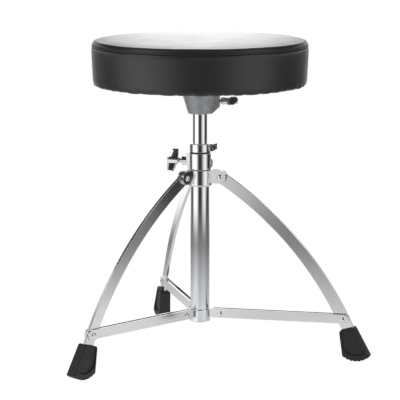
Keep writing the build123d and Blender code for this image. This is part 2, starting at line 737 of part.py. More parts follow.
# Cast bracket under the seat: a cone with a flat boss for the seat's wing bolt
with BuildPart() as seat_bracket:
    with BuildSketch(SECTION):
        with BuildLine():
            Polyline(
                (0, BRACKET_BOTTOM),
                (BRACKET_BOTTOM_RADIUS - BRACKET_EDGE, BRACKET_BOTTOM),
                (BRACKET_BOTTOM_RADIUS, BRACKET_BOTTOM + BRACKET_EDGE),
                (BRACKET_TOP_RADIUS, SEAT_BOTTOM - BRACKET_FLANGE),
                (BRACKET_FLANGE_RADIUS, SEAT_BOTTOM - BRACKET_FLANGE),
                (BRACKET_FLANGE_RADIUS, SEAT_BOTTOM),
                (0, SEAT_BOTTOM),
                close=True,
            )
        make_face()
    revolve(axis=POST_AXIS)
    with BuildSketch(SECTION):
        with BuildLine():
            Polyline(
                (0, BRACKET_BOTTOM),
                (BRACKET_BOTTOM_RADIUS, BRACKET_BOTTOM),
                (BRACKET_BOSS_REACH, BRACKET_BOSS_BOTTOM),
                (BRACKET_BOSS_REACH, SEAT_BOTTOM - BRACKET_FLANGE),
                (0, SEAT_BOTTOM - BRACKET_FLANGE),
                close=True,
            )
        make_face()
    extrude(amount=BRACKET_BOSS_HALF_WIDTH, both=True)
    # socket for the post, hole for the wing bolt and four holes in the flange
    with BuildSketch(level(POST_TOP + SIDE_GAP)):
        Circle(POST_RADIUS + RUNNING_GAP)
    extrude(amount=-CUT, mode=Mode.SUBTRACT)
    with BuildSketch(facing_plane(0.0, SEAT_BOLT_HEIGHT)):
        Circle(BOLT_RADIUS + RUNNING_GAP)
    extrude(amount=CUT, mode=Mode.SUBTRACT)
    with BuildSketch(level(SEAT_BOTTOM)):
        with PolarLocations(MOUNT_CIRCLE, MOUNT_COUNT, MOUNT_TURN):
            Circle(MOUNT_BOLT_RADIUS + SEAT_GAP)
    extrude(amount=-BRACKET_FLANGE, mode=Mode.SUBTRACT)
save(seat_bracket, "seat_bracket")

# Seat board, with holes for the four tee nuts. The folded vinyl and the cloth lie in the step
# round the face that the bracket's flange is bolted to.
with BuildPart() as seat_board:
    with BuildSketch(level(SEAT_BOTTOM + VINYL)):
        Circle(BOARD_RADIUS)
        Circle(BOARD_FACE_RADIUS, mode=Mode.SUBTRACT)
    extrude(amount=BOARD_THICKNESS - VINYL)
    with BuildSketch(level(SEAT_BOTTOM)):
        Circle(BOARD_FACE_RADIUS)
        with PolarLocations(MOUNT_CIRCLE, MOUNT_COUNT, MOUNT_TURN):
            Circle(TEE_NUT_RADIUS + SEAT_GAP, mode=Mode.SUBTRACT)
    extrude(amount=BOARD_THICKNESS)
save(seat_board, "seat_board")

# Four tee nuts, with their flanges on top of the board
with BuildPart() as seat_tee_nuts:
    with BuildSketch(level(FOAM_BOTTOM)):
        with PolarLocations(MOUNT_CIRCLE, MOUNT_COUNT, MOUNT_TURN):
            Circle(TEE_NUT_RADIUS)
            Circle(MOUNT_BOLT_RADIUS + SEAT_GAP, mode=Mode.SUBTRACT)
    extrude(amount=TEE_NUT_TIP - BOARD_THICKNESS)
    with BuildSketch(level(FOAM_BOTTOM)):
        with PolarLocations(MOUNT_CIRCLE, MOUNT_COUNT, MOUNT_TURN):
            Circle(TEE_NUT_FLANGE_RADIUS)
    extrude(amount=TEE_NUT_FLANGE)
save(seat_tee_nuts, "seat_tee_nuts")

# Four hexagon bolts, from under the bracket's flange
with BuildPart() as seat_bolts:
    with BuildSketch(level(SEAT_BOTTOM - BRACKET_FLANGE)):
        with PolarLocations(MOUNT_CIRCLE, MOUNT_COUNT, MOUNT_TURN):
            Circle(MOUNT_BOLT_RADIUS)
    extrude(amount=BRACKET_FLANGE + BOARD_THICKNESS - TEE_NUT_ROOM)
    with BuildSketch(level(SEAT_BOTTOM - BRACKET_FLANGE)):
        with PolarLocations(MOUNT_CIRCLE, MOUNT_COUNT, MOUNT_TURN):
            RegularPolygon(MOUNT_HEAD_RADIUS, 6)
    extrude(amount=-MOUNT_HEAD)
save(seat_bolts, "seat_bolts")

# Foam block, crowned on top, with room below for the heads of the tee nuts
with BuildPart() as seat_foam:
    with BuildSketch(SECTION):
        with BuildLine():
            Polyline(
                (0, SEAT_CROWN - VINYL),
                (0, FOAM_BOTTOM),
                (FOAM_RADIUS, FOAM_BOTTOM),
                (FOAM_RADIUS, SEAT_SEAM + SEAM_GAP),
                (CORNER_RADIUS - VINYL, CORNER_HEIGHT - VINYL),
                (RIM_RADIUS, SEAT_RIM_TOP - VINYL),
                close=True,
            )
        make_face()
    revolve(axis=POST_AXIS)
    with BuildSketch(level(FOAM_BOTTOM)):
        with PolarLocations(MOUNT_CIRCLE, MOUNT_COUNT, MOUNT_TURN):
            Circle(TEE_NUT_FLANGE_RADIUS + TEE_NUT_ROOM)
    extrude(amount=TEE_NUT_FLANGE + TEE_NUT_ROOM, mode=Mode.SUBTRACT)
save(seat_foam, "seat_foam")

# Vinyl top panel, from the seam up to the corner, over the rim and on to the crown
with BuildPart() as seat_cover_top:
    with BuildSketch(SECTION):
        with BuildLine():
            Polyline(
                (0, SEAT_CROWN),
                (0, SEAT_CROWN - VINYL),
                (RIM_RADIUS, SEAT_RIM_TOP - VINYL),
                (CORNER_RADIUS - VINYL, CORNER_HEIGHT - VINYL),
                (FOAM_RADIUS, SEAT_SEAM + SEAM_GAP),
                (SEAT_RADIUS - WELT_OUT, SEAT_SEAM + SEAM_GAP),
                (CORNER_RADIUS, CORNER_HEIGHT),
                (RIM_RADIUS, SEAT_RIM_TOP),
                close=True,
            )
        make_face()
    revolve(axis=POST_AXIS)
save(seat_cover_top, "seat_cover_top")

# Welt in the seam between the top panel and the side band
with BuildPart() as seat_piping:
    with BuildSketch(SECTION):
        with BuildLine():
            Polyline(
                (SEAT_RADIUS - WELT_DEPTH, SEAT_SEAM - WELT_HALF),
                (SEAT_RADIUS, SEAT_SEAM - WELT_HALF),
                (SEAT_RADIUS + WELT_OUT, SEAT_SEAM),
                (SEAT_RADIUS, SEAT_SEAM + WELT_HALF),
                (SEAT_RADIUS - WELT_DEPTH, SEAT_SEAM + WELT_HALF),
                close=True,
            )
        make_face()
    revolve(axis=POST_AXIS)
save(seat_piping, "seat_piping")

# Side band, which draws in a little towards its hem and is folded under the board's edge
with BuildPart() as seat_cover_band:
    with BuildSketch(SECTION):
        with BuildLine():
            Polyline(
                (FOAM_RADIUS + RUNNING_GAP, SEAT_SEAM - SEAM_GAP),
                (SEAT_RADIUS, SEAT_SEAM - SEAM_GAP),
                (SEAT_HEM_RADIUS, SEAT_BOTTOM + HEM_CHAMFER),
                (SEAT_HEM_RADIUS - HEM_CHAMFER, SEAT_BOTTOM),
                (HEM_FOLD_RADIUS, SEAT_BOTTOM),
                (HEM_FOLD_RADIUS, SEAT_BOTTOM + VINYL),
                (SEAT_HEM_RADIUS - HEM_CHAMFER, SEAT_BOTTOM + VINYL),
                (SEAT_HEM_RADIUS - VINYL, SEAT_BOTTOM + HEM_CHAMFER),
                close=True,
            )
        make_face()
    revolve(axis=POST_AXIS)
save(seat_cover_band, "seat_cover_band")

# Cloth that hides the board's underside
with BuildPart() as seat_dust_cloth:
    with BuildSketch(level(SEAT_BOTTOM + VINYL)):
        Circle(HEM_FOLD_RADIUS - SEAT_GAP)
        Circle(BOARD_FACE_RADIUS + SEAT_GAP, mode=Mode.SUBTRACT)
    extrude(amount=-DUST_CLOTH)
save(seat_dust_cloth, "seat_dust_cloth")
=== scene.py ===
"""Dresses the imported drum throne: seat cover, stitching, staples, bolts, rivets, finishes, stage.

It is laid out as an add-on and run as a script. One operator makes each piece or group of like
pieces. Lengths are in metres, and a name that ends in _MM is in millimetres.
"""

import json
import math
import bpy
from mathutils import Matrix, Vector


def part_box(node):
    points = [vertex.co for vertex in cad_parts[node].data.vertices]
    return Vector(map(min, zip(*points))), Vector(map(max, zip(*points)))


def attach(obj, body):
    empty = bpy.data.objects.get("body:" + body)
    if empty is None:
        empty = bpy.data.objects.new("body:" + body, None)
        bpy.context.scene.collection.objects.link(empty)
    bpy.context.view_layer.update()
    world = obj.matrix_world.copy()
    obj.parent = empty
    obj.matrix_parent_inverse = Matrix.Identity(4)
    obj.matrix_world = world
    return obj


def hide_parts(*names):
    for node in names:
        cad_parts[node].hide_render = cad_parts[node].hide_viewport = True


bl_info = {
    "name": "Drum throne",
    "version": (1, 0, 0),
    "blender": (4, 5, 0),
    "location": "3D Viewport > Sidebar > Throne",
    "description": "Upholstery, small hardware, finishes and stage for a folding drum throne",
    "category": "Object",
}

import bmesh
import bpy
import numpy as np
from bpy.props import FloatProperty, FloatVectorProperty, PointerProperty
from mathutils import Matrix, Vector

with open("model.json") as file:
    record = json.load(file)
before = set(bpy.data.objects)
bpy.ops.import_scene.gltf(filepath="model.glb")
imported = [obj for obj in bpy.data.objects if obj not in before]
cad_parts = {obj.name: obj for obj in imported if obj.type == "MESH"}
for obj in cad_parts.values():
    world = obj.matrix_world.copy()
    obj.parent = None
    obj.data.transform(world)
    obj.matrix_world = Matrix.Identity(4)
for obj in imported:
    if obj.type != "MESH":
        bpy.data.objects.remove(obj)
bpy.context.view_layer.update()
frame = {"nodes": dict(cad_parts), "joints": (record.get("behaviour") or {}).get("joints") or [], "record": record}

MM = 0.001
UP = np.array([0.0, 0.0, 1.0])


def linear(code):
    """The scene-linear red, green and blue of an sRGB hex colour such as #1A1A1C."""
    channels = np.array([int(code[i : i + 2], 16) / 255 for i in (1, 3, 5)])
    low = channels / 12.92
    high = ((channels + 0.055) / 1.055) ** 2.4
    return tuple(float(c) for c in np.where(channels <= 0.04045, low, high))


# Places read from the frame. Shapes are worked out about the post's axis, and then moved there.

POST_LOW, POST_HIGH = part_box("inner_post")
POST = np.array([(POST_LOW.x + POST_HIGH.x) / 2, (POST_LOW.y + POST_HIGH.y) / 2, 0.0])
WELT_LOW, WELT_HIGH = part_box("seat_piping")
BOARD_LOW, BOARD_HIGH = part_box("seat_board")
SEAM_HEIGHT = (WELT_LOW.z + WELT_HIGH.z) / 2
SEAT_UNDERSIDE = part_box("seat_cover_band")[0].z
CROWN_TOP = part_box("seat_cover_top")[1].z
FOAM_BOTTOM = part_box("seat_foam")[0].z
WELT_RADIUS = (WELT_HIGH.x - WELT_LOW.x) / 2
BOARD_EDGE = (BOARD_HIGH.x - BOARD_LOW.x) / 2


# Settings that a user would change

COLOUR = {"subtype": "COLOR", "size": 3, "min": 0, "max": 1}


class CushionSettings(bpy.types.PropertyGroup):
    """Sizes and colours of the upholstered seat."""

    crown: FloatProperty(
        name="Crown", description="How far the middle stands above the rim", default=3.8 * MM,
        min=0, unit="LENGTH",
    )
    rim_radius: FloatProperty(
        name="Rim radius", description="Where the flat top turns down", default=148 * MM,
        unit="LENGTH",
    )
    stitch_pitch: FloatProperty(
        name="Stitch pitch", description="Length of one stitch and its gap", default=4 * MM,
        unit="LENGTH",
    )
    gather_pitch: FloatProperty(
        name="Gather pitch", description="Mean spacing of the staples that gather the hem",
        default=23 * MM, unit="LENGTH",
    )
    gather_depth: FloatProperty(
        name="Gather depth", description="How far the hem bulges between two staples",
        default=1.5 * MM, unit="LENGTH",
    )
    vinyl: FloatVectorProperty(
        name="Vinyl", description="Colour of the cover", default=linear("#19191B"), **COLOUR
    )
    thread: FloatVectorProperty(
        name="Thread", description="Colour of the stitching", default=linear("#2E2E31"), **COLOUR
    )


class MetalSettings(bpy.types.PropertyGroup):
    """Colours of the metal, rubber and plastic."""

    chrome: FloatVectorProperty(
        name="Chrome", description="Colour of the bright plating", default=linear("#DADBDD"),
        **COLOUR,
    )
    casting: FloatVectorProperty(
        name="Casting", description="Colour of the bracket's grey finish",
        default=linear("#9A9C9E"), **COLOUR,
    )
    rubber: FloatVectorProperty(
        name="Rubber", description="Colour of the feet", default=linear("#1D1D1F"), **COLOUR
    )


class StageSettings(bpy.types.PropertyGroup):
    """Floor, surround and camera."""

    floor: FloatVectorProperty(
        name="Floor", description="Colour of the floor", default=linear("#F7F7F7"), **COLOUR
    )
    glow: FloatProperty(
        name="Floor glow", description="Light that the floor gives off", default=0.95, min=0,
    )
    sky: FloatProperty(
        name="Sky", description="Strength of the even light all round", default=0.08, min=0,
    )
    left_power: FloatProperty(
        name="Left light", description="Power of the left softbox", default=22, min=0, unit="POWER",
    )
    right_power: FloatProperty(
        name="Right light", description="Power of the right softbox", default=14, min=0,
        unit="POWER",
    )
    rear_power: FloatProperty(
        name="Rear light", description="Power of the rear softbox", default=10, min=0, unit="POWER",
    )
    surround_radius: FloatProperty(
        name="Surround radius", description="Radius of the ring of reflectors", default=0.85,
        unit="LENGTH",
    )
    camera_distance: FloatProperty(
        name="Camera distance", description="From the post's axis, along Y", default=2.877,
        unit="LENGTH",
    )
    camera_height: FloatProperty(
        name="Camera height", description="Above the floor", default=0.718, unit="LENGTH",
    )
    camera_pitch: FloatProperty(
        name="Camera pitch", description="How far the camera looks down", default=0.1677,
        subtype="ANGLE",
    )
    lens: FloatProperty(
        name="Lens", description="Focal length in millimetres", default=175.2, min=1,
    )


# Shapes as whole arrays

WELD_DISTANCE = 1e-6


def full_turn(count):
    """Angles evenly spaced once round."""
    return np.linspace(0, 2 * np.pi, count, endpoint=False)


def about_axis(radius, angle, height):
    """Points about the Z axis: (r cos t, r sin t, h), from numbers or arrays of each."""
    parts = np.broadcast_arrays(radius * np.cos(angle), radius * np.sin(angle), height)
    return np.stack(parts, axis=-1)


def lathe(profile, turns):
    """Carries a profile of (radius, height) once round the Z axis, as rows by turns by 3."""
    return about_axis(profile[:, :1], full_turn(turns), profile[:, 1:2])


def swell(wave, power):
    """A sine or cosine raised to a power with its sign kept, which squares a circle's corners."""
    return np.sign(wave) * np.abs(wave) ** power


def rounded(corners, radii, steps=6):
    """A polyline with each inner corner replaced by an arc.

    The arc starts and ends at radius / tan(half the corner's angle) from the corner, and is drawn
    as the quadratic curve through those two points with the corner as its control point.
    """
    corners = np.asarray(corners, float)
    path = [corners[:1]]
    blend = np.linspace(0, 1, steps)[:, None]
    for before, corner, after, radius in zip(corners, corners[1:], corners[2:], radii):
        back = (before - corner) / np.linalg.norm(before - corner)
        ahead = (after - corner) / np.linalg.norm(after - corner)
        half = math.acos(max(-1.0, min(1.0, float(back @ ahead)))) / 2
        reach = min(
            radius / max(math.tan(half), 1e-6),
            0.49 * np.linalg.norm(before - corner),
            0.49 * np.linalg.norm(after - corner),
        )
        start, end = corner + back * reach, corner + ahead * reach
        path.append((1 - blend) ** 2 * start + 2 * blend * (1 - blend) * corner + blend**2 * end)
    path.append(corners[-1:])
    return np.concatenate(path)


def evenly(path, count):
    """The same path with count points, evenly spaced along its length."""
    length = np.concatenate([[0], np.cumsum(np.linalg.norm(np.diff(path, axis=0), axis=1))])
    at = np.linspace(0, length[-1], count)
    return np.stack([np.interp(at, length, path[:, i]) for i in range(path.shape[1])], axis=-1)


def grid_faces(rows, columns, loop_rows, loop_columns, first=0):
    """The quads between neighbouring points of a grid, closed round either way if asked."""
    index = first + np.arange(rows * columns).reshape(rows, columns)
    if loop_rows:
        index = np.vstack([index, index[:1]])
    if loop_columns:
        index = np.hstack([index, index[:, :1]])
    corners = [index[:-1, :-1], index[:-1, 1:], index[1:, 1:], index[1:, :-1]]
    return np.stack(corners, axis=-1).reshape(-1, 4)


def make_piece(name, grids, body, slot, finish=None, loops=(False, True)):
    """A mesh object from one or more grids of points about the post, its seams and poles welded.

    Loops says whether a grid is closed round its rows and round its columns. The finish is the
    slot's own, unless another is named.
    """
    points, quads, first = [], [], 0
    for grid in grids:
        rows, columns = grid.shape[:2]
        points.append(grid.reshape(-1, 3))
        quads.append(grid_faces(rows, columns, *loops, first))
        first += rows * columns
    points, quads = np.concatenate(points) + POST, np.concatenate(quads)
    mesh = bpy.data.meshes.new(name)
    mesh.vertices.add(len(points))
    mesh.vertices.foreach_set("co", points.astype(np.float32).ravel())
    mesh.loops.add(quads.size)
    mesh.loops.foreach_set("vertex_index", quads.astype(np.int32).ravel())
    mesh.polygons.add(len(quads))
    mesh.polygons.foreach_set("loop_start", np.arange(0, quads.size, 4, dtype=np.int32))
    mesh.update(calc_edges=True)
    piece = bpy.data.objects.new(name, mesh)
    bpy.context.scene.collection.objects.link(piece)
    weld_and_orient(mesh)
    mesh.materials.append(finishes()[finish or FINISH_OF_SLOT[slot]])
    shade_smooth(mesh)
    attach(piece, body)
    return piece


def weld_and_orient(mesh):
    """Merges the points that lie together, and turns the faces outwards."""
    work = bmesh.new()
    work.from_mesh(mesh)
    bmesh.ops.remove_doubles(work, verts=work.verts, dist=WELD_DISTANCE)
    bmesh.ops.dissolve_degenerate(work, dist=WELD_DISTANCE / 10, edges=work.edges)
    bmesh.ops.recalc_face_normals(work, faces=work.faces)
    work.to_mesh(mesh)
    work.free()
    mesh.update()


def shade_smooth(mesh):
    """Shades every face as part of a curved surface."""
    mesh.polygons.foreach_set("use_smooth", np.ones(len(mesh.polygons), bool))


def copies(shape, centres, ahead, across):
    """A list of copies of a small shape, one at each centre.

    The shape's first axis goes along ahead, its second along across, and its third upwards.
    """
    return list(
        centres[:, None, None]
        + shape[None, ..., :1] * ahead[:, None, None]
        + shape[None, ..., 1:2] * across[:, None, None]
        + shape[None, ..., 2:] * UP
    )


def radius_of(piece):
    """Each point's distance from the post's axis."""
    points = np.array([point.co for point in piece.data.vertices])
    return np.hypot(*(points - POST)[:, :2].T)


def height_of(piece):
    """Each point's height above the floor."""
    return np.array([point.co.z for point in piece.data.vertices])


def finish_modifiers(piece):
    """Applies the modifiers of a piece, so that its mesh is final."""
    bpy.context.view_layer.update()
    graph = bpy.context.evaluated_depsgraph_get()
    mesh = bpy.data.meshes.new_from_object(piece.evaluated_get(graph))
    old = piece.data
    piece.modifiers.clear()
    piece.data = mesh
    mesh.name = piece.name
    bpy.data.meshes.remove(old)


# Materials


def add(tree, kind, inputs=None, **settings):
    """Adds one node, with its own settings and its inputs.

    An input is a value to set, a socket to link, or a node, which gives its first output in use.
    """
    node = tree.nodes.new("ShaderNode" + kind)
    for name, value in settings.items():
        setattr(node, name, value)
    for key, value in (inputs or {}).items():
        if isinstance(value, bpy.types.Node):
            value = next(socket for socket in value.outputs if socket.enabled)
        if isinstance(value, bpy.types.NodeSocket):
            tree.links.new(value, node.inputs[key])
        else:
            node.inputs[key].default_value = value
    return node


def make_material(name, shade, *looks):
    """A material from a function that adds its nodes, which is given the place on the object."""
    material = bpy.data.materials.new(name)
    material.use_nodes = True
    tree = material.node_tree
    tree.nodes.clear()
    place = add(tree, "TexCoord").outputs["Object"]
    add(tree, "OutputMaterial", {"Surface": shade(tree, place, *looks)})
    return material


def rgba(colour, brightness=1.0):
    """A colour socket's four numbers, made darker or lighter."""
    return (*(brightness * c for c in tuple(colour)[:3]), 1.0)


# A mix of colours takes its factor, its first colour and its second at inputs 0, 6 and 7.


def chrome_plate(tree, place, colour, roughness, ripple, grain, stretch, edge):
    """Bright nickel-chrome plating over formed steel or zinc.

    The plating follows the metal below it, so the eye sees clear reflections that waver a little:
    drawn tube along its length, rolled strip along the bar, and castings all over. Ripple is the
    height of that waver in metres, grain its spacing, and edge the rounding of the corners.
    """
    space = add(tree, "Mapping", {"Vector": place, "Scale": stretch})
    waver = add(tree, "TexNoise", {"Vector": space, "Scale": 1 / grain, "Detail": 2.0})
    haze = add(tree, "TexNoise", {"Vector": space, "Scale": 0.25 / grain, "Detail": 3.0})
    rounding = add(tree, "Bevel", {"Radius": edge}, samples=6)
    bump = add(tree, "Bump", {"Height": waver, "Distance": ripple, "Normal": rounding})
    cloud = add(tree, "MapRange", {"Value": haze, "From Min": 0.35, "From Max": 0.65})
    tint = add(tree, "Mix", {0: cloud, 6: rgba(colour, 0.94), 7: rgba(colour)}, data_type="RGBA")
    polish = add(
        tree, "MapRange", {"Value": haze, "To Min": roughness * 0.7, "To Max": roughness * 1.3}
    )
    return add(
        tree, "BsdfPrincipled",
        {"Base Color": tint, "Metallic": 1.0, "Roughness": polish, "Normal": bump},
    )


def grey_cast_metal(tree, place, colour):
    """Die-cast aluminium with a thin grey powder coat: an even satin with 1 mm specks.

    It gives the eye a broad soft highlight down the cone, beside the sharp ones of the chrome.
    """
    speck = add(tree, "TexNoise", {"Vector": place, "Scale": 900.0, "Detail": 4.0})
    cloud = add(tree, "TexNoise", {"Vector": place, "Scale": 120.0, "Detail": 3.0})
    both = add(tree, "Math", {0: speck, 1: cloud}, operation="ADD")
    spread = add(tree, "MapRange", {"Value": both, "From Min": 0.75, "From Max": 1.2})
    tint = add(tree, "Mix", {0: spread, 6: rgba(colour, 0.7), 7: rgba(colour)}, data_type="RGBA")
    rounding = add(tree, "Bevel", {"Radius": 0.8 * MM}, samples=6)
    bump = add(
        tree, "Bump",
        {"Height": speck, "Distance": 0.12 * MM, "Strength": 0.8, "Normal": rounding},
    )
    return add(
        tree, "BsdfPrincipled",
        {"Base Color": tint, "Metallic": 0.55, "Roughness": 0.42, "Normal": bump},
    )


def black_vinyl(tree, place, colour):
    """PVC-coated upholstery fabric, embossed with a fine hide grain.

    Cells about 1 mm wide meet in shallow valleys. Along a low line of sight it shines brightly.
    """
    cells = add(tree, "TexVoronoi", {"Vector": place, "Scale": 950.0}, feature="SMOOTH_F1")
    pores = add(tree, "TexNoise", {"Vector": place, "Scale": 2400.0, "Detail": 2.0})
    drift = add(tree, "TexNoise", {"Vector": place, "Scale": 28.0, "Detail": 2.0})
    grain = add(tree, "Math", {0: cells, 1: pores}, operation="ADD")
    bump = add(tree, "Bump", {"Height": grain, "Distance": 0.08 * MM, "Strength": 0.8})
    tint = add(
        tree, "Mix", {0: drift, 6: rgba(colour, 0.8), 7: rgba(colour, 1.1)}, data_type="RGBA"
    )
    sheen = add(tree, "MapRange", {"Value": drift, "To Min": 0.34, "To Max": 0.42})
    return add(
        tree, "BsdfPrincipled",
        {"Base Color": tint, "IOR": 1.53, "Roughness": sheen, "Normal": bump},
    )


def moulded_black(tree, place, colour, roughness, grain, depth, ior):
    """A moulded rubber or plastic: even colour, faint texture of the mould, softly worn edges.

    Grain is the spacing of that texture in metres, and depth its height.
    """
    fine = add(tree, "TexNoise", {"Vector": place, "Scale": 1 / grain, "Detail": 3.0})
    scuff = add(tree, "TexNoise", {"Vector": place, "Scale": 60.0, "Detail": 4.0})
    rounding = add(tree, "Bevel", {"Radius": 0.9 * MM}, samples=6)
    bump = add(
        tree, "Bump", {"Height": fine, "Distance": depth, "Strength": 0.7, "Normal": rounding}
    )
    tint = add(
        tree, "Mix", {0: scuff, 6: rgba(colour, 0.75), 7: rgba(colour, 1.25)}, data_type="RGBA"
    )
    dull = add(
        tree, "MapRange", {"Value": scuff, "To Min": roughness - 0.1, "To Max": roughness + 0.1}
    )
    return add(
        tree, "BsdfPrincipled", {"Base Color": tint, "IOR": ior, "Roughness": dull, "Normal": bump}
    )


def zinc_plated_steel(tree, place):
    """Bright zinc over a cold-headed bolt: a soft, slightly yellow grey with a 1.5 mm grain."""
    grain = add(tree, "TexNoise", {"Vector": place, "Scale": 700.0, "Detail": 3.0})
    dark, light = rgba(linear("#83837E")), rgba(linear("#C2C1B9"))
    tint = add(tree, "Mix", {0: grain, 6: dark, 7: light}, data_type="RGBA")
    satin = add(tree, "MapRange", {"Value": grain, "To Min": 0.24, "To Max": 0.46})
    return add(tree, "BsdfPrincipled", {"Base Color": tint, "Metallic": 1.0, "Roughness": satin})


def birch_plywood(tree, place):
    """Rotary-cut birch: wide soft figure on the faces, and plies 3 mm thick on the edge."""
    along = add(tree, "Mapping", {"Vector": place, "Scale": (1, 6, 1)})
    figure = add(
        tree, "TexNoise", {"Vector": along, "Scale": 22.0, "Detail": 5.0, "Distortion": 0.6}
    )
    plies = add(tree, "TexWave", {"Vector": place, "Scale": 52.0}, bands_direction="Z")
    # A mix of numbers takes its factor and the two numbers at inputs 0, 2 and 3
    mixed = add(tree, "Mix", {0: 0.35, 2: figure, 3: plies.outputs["Fac"]}, data_type="FLOAT")
    spread = add(tree, "MapRange", {"Value": mixed, "From Min": 0.25, "From Max": 0.75})
    dark, light = rgba(linear("#B58F5E")), rgba(linear("#E3C797"))
    tint = add(tree, "Mix", {0: spread, 6: dark, 7: light}, data_type="RGBA")
    return add(tree, "BsdfPrincipled", {"Base Color": tint, "Roughness": 0.62})


def open_cell_foam(tree, place):
    """Polyurethane foam: cream, dull, with cells about 1.5 mm wide, and painted shade in their hollows."""
    cells = add(tree, "TexVoronoi", {"Vector": place, "Scale": 650.0})
    depth = add(tree, "MapRange", {"Value": cells, "From Min": 0.05, "From Max": 0.5})
    bump = add(tree, "Bump", {"Height": depth, "Distance": 0.6 * MM})
    # Painted shade: the cream goes darker towards the bottom of each cell, where the bump dips
    dark, light = rgba(linear("#9C8F66")), rgba(linear("#E2D7AE"))
    tint = add(tree, "Mix", {0: depth, 6: dark, 7: light}, data_type="RGBA")
    return add(tree, "BsdfPrincipled", {"Base Color": tint, "Roughness": 0.95, "Normal": bump})


def bonded_cloth(tree, place):
    """Black spun-bonded cloth: loose fibres held by a grid of pressed points 2 mm apart."""
    along = add(tree, "Mapping", {"Vector": place, "Scale": (1, 3, 1)})
    points = add(tree, "TexVoronoi", {"Vector": place, "Scale": 480.0, "Randomness": 0.0})
    fibres = add(tree, "TexNoise", {"Vector": along, "Scale": 900.0, "Detail": 4.0})
    relief = add(tree, "Math", {0: points, 1: fibres}, operation="ADD")
    bump = add(tree, "Bump", {"Height": relief, "Distance": 0.15 * MM})
    dark, light = rgba(linear("#0F0F10")), rgba(linear("#373739"))
    tint = add(tree, "Mix", {0: fibres, 6: dark, 7: light}, data_type="RGBA")
    return add(tree, "BsdfPrincipled", {"Base Color": tint, "Roughness": 0.85, "Normal": bump})


def twisted_thread(tree, place, colour):
    """Bonded polyester sewing thread: a dull gleam, broken every 0.7 mm by its twist and painted shade."""
    wave = {"Vector": place, "Scale": 900.0, "Distortion": 0.4}
    twist = add(tree, "TexWave", wave, bands_direction="DIAGONAL").outputs["Fac"]
    bump = add(tree, "Bump", {"Height": twist, "Distance": 0.1 * MM})
    # Painted shade: the colour falls to 0.6 of itself in the grooves, where the twist's bump dips
    tint = add(tree, "Mix", {0: twist, 6: rgba(colour, 0.6), 7: rgba(colour)}, data_type="RGBA")
    return add(tree, "BsdfPrincipled", {"Base Color": tint, "Roughness": 0.5, "Normal": bump})


def finishes():
    """Every finish of the throne by name, made once."""
    if "black_embossed_vinyl" in bpy.data.materials:
        return {material.name: material for material in bpy.data.materials}
    metal, cushion = bpy.context.scene.throne_metal, bpy.context.scene.throne_cushion
    rubber = (tuple(metal.rubber), 0.6, 0.8 * MM, 0.06 * MM, 1.42)
    nylon = (linear("#1D1D1F"), 0.42, 1.2 * MM, 0.03 * MM, 1.53)
    looks = {name: (chrome_plate, tuple(metal.chrome), *plate) for name, *plate in CHROMES}
    looks |= {
        "grey_coated_casting": (grey_cast_metal, tuple(metal.casting)),
        "black_embossed_vinyl": (black_vinyl, tuple(cushion.vinyl)),
        "moulded_rubber": (moulded_black, *rubber),
        "moulded_nylon": (moulded_black, *nylon),
        "zinc_plated_steel": (zinc_plated_steel,),
        "birch_plywood": (birch_plywood,),
        "cream_foam": (open_cell_foam,),
        "black_bonded_cloth": (bonded_cloth,),
        "black_thread": (twisted_thread, tuple(cushion.thread)),
    }
    return {name: make_material(name, *look) for name, look in looks.items()}


# Each chrome: its roughness, the height and spacing of its waver, how that is drawn out along X, Y
# and Z, and the rounding of its corners
CHROMES = (
    ("chrome_on_drawn_tube", 0.06, 0.012 * MM, 12 * MM, (1, 1, 0.12), 0.4 * MM),
    ("chrome_on_die_casting", 0.09, 0.03 * MM, 6 * MM, (1, 1, 1), 0.7 * MM),
    ("chrome_on_rolled_strip", 0.12, 0.03 * MM, 20 * MM, (1, 1, 0.4), 0.6 * MM),
    ("chrome_on_small_parts", 0.08, 0.02 * MM, 4 * MM, (1, 1, 1), 0.3 * MM),
)

FINISH_OF_SLOT = {
    "chrome_tube": "chrome_on_drawn_tube",
    "chrome_cast": "chrome_on_die_casting",
    "chrome_flat": "chrome_on_rolled_strip",
    "chrome_small": "chrome_on_small_parts",
    "grey_casting": "grey_coated_casting",
    "zinc_steel": "zinc_plated_steel",
    "black_rubber": "moulded_rubber",
    "black_plastic": "moulded_nylon",
    "plywood": "birch_plywood",
    "foam": "cream_foam",
    "black_vinyl": "black_embossed_vinyl",
    "black_cloth": "black_bonded_cloth",
}


class THRONE_OT_finishes(bpy.types.Operator):
    """Gives every CAD node its procedural finish"""

    bl_idname = "throne.finishes"
    bl_label = "Finish the metal and plastic"

    def execute(self, context):
        made = finishes()
        for entry in frame["record"]["subparts"]:
            node = frame["nodes"][entry["node"]]
            node.data.materials.clear()
            node.data.materials.append(made[FINISH_OF_SLOT[entry["material_slot"]]])
        return {"FINISHED"}


# Upholstery

TURNS = 720
HEM_RADIUS = 132 * MM
COVER_THICKNESS = 1.1 * MM
WELT_THICKNESS = 1.2 * MM
SETTLING_FRAMES = 20

# How hard the foam presses a panel of the cover, how firmly it grips the cloth that is neither
# sewn nor stapled, and how far that may move
TOP_STRETCH = {"pressure": 350.0, "grip": 0.2, "limit": 0.6 * MM}
BAND_STRETCH = {"pressure": 1200.0, "grip": 0.0, "limit": 1.2 * MM}

# Depth of the foam below the top of the cover
FOAM_DEPTH = 1.9 * MM

DUST_CLOTH_HOLE = 47 * MM
DUST_CLOTH_EDGE = 139 * MM
STAPLE_COUNT = 44
STAPLE_RING = 134 * MM


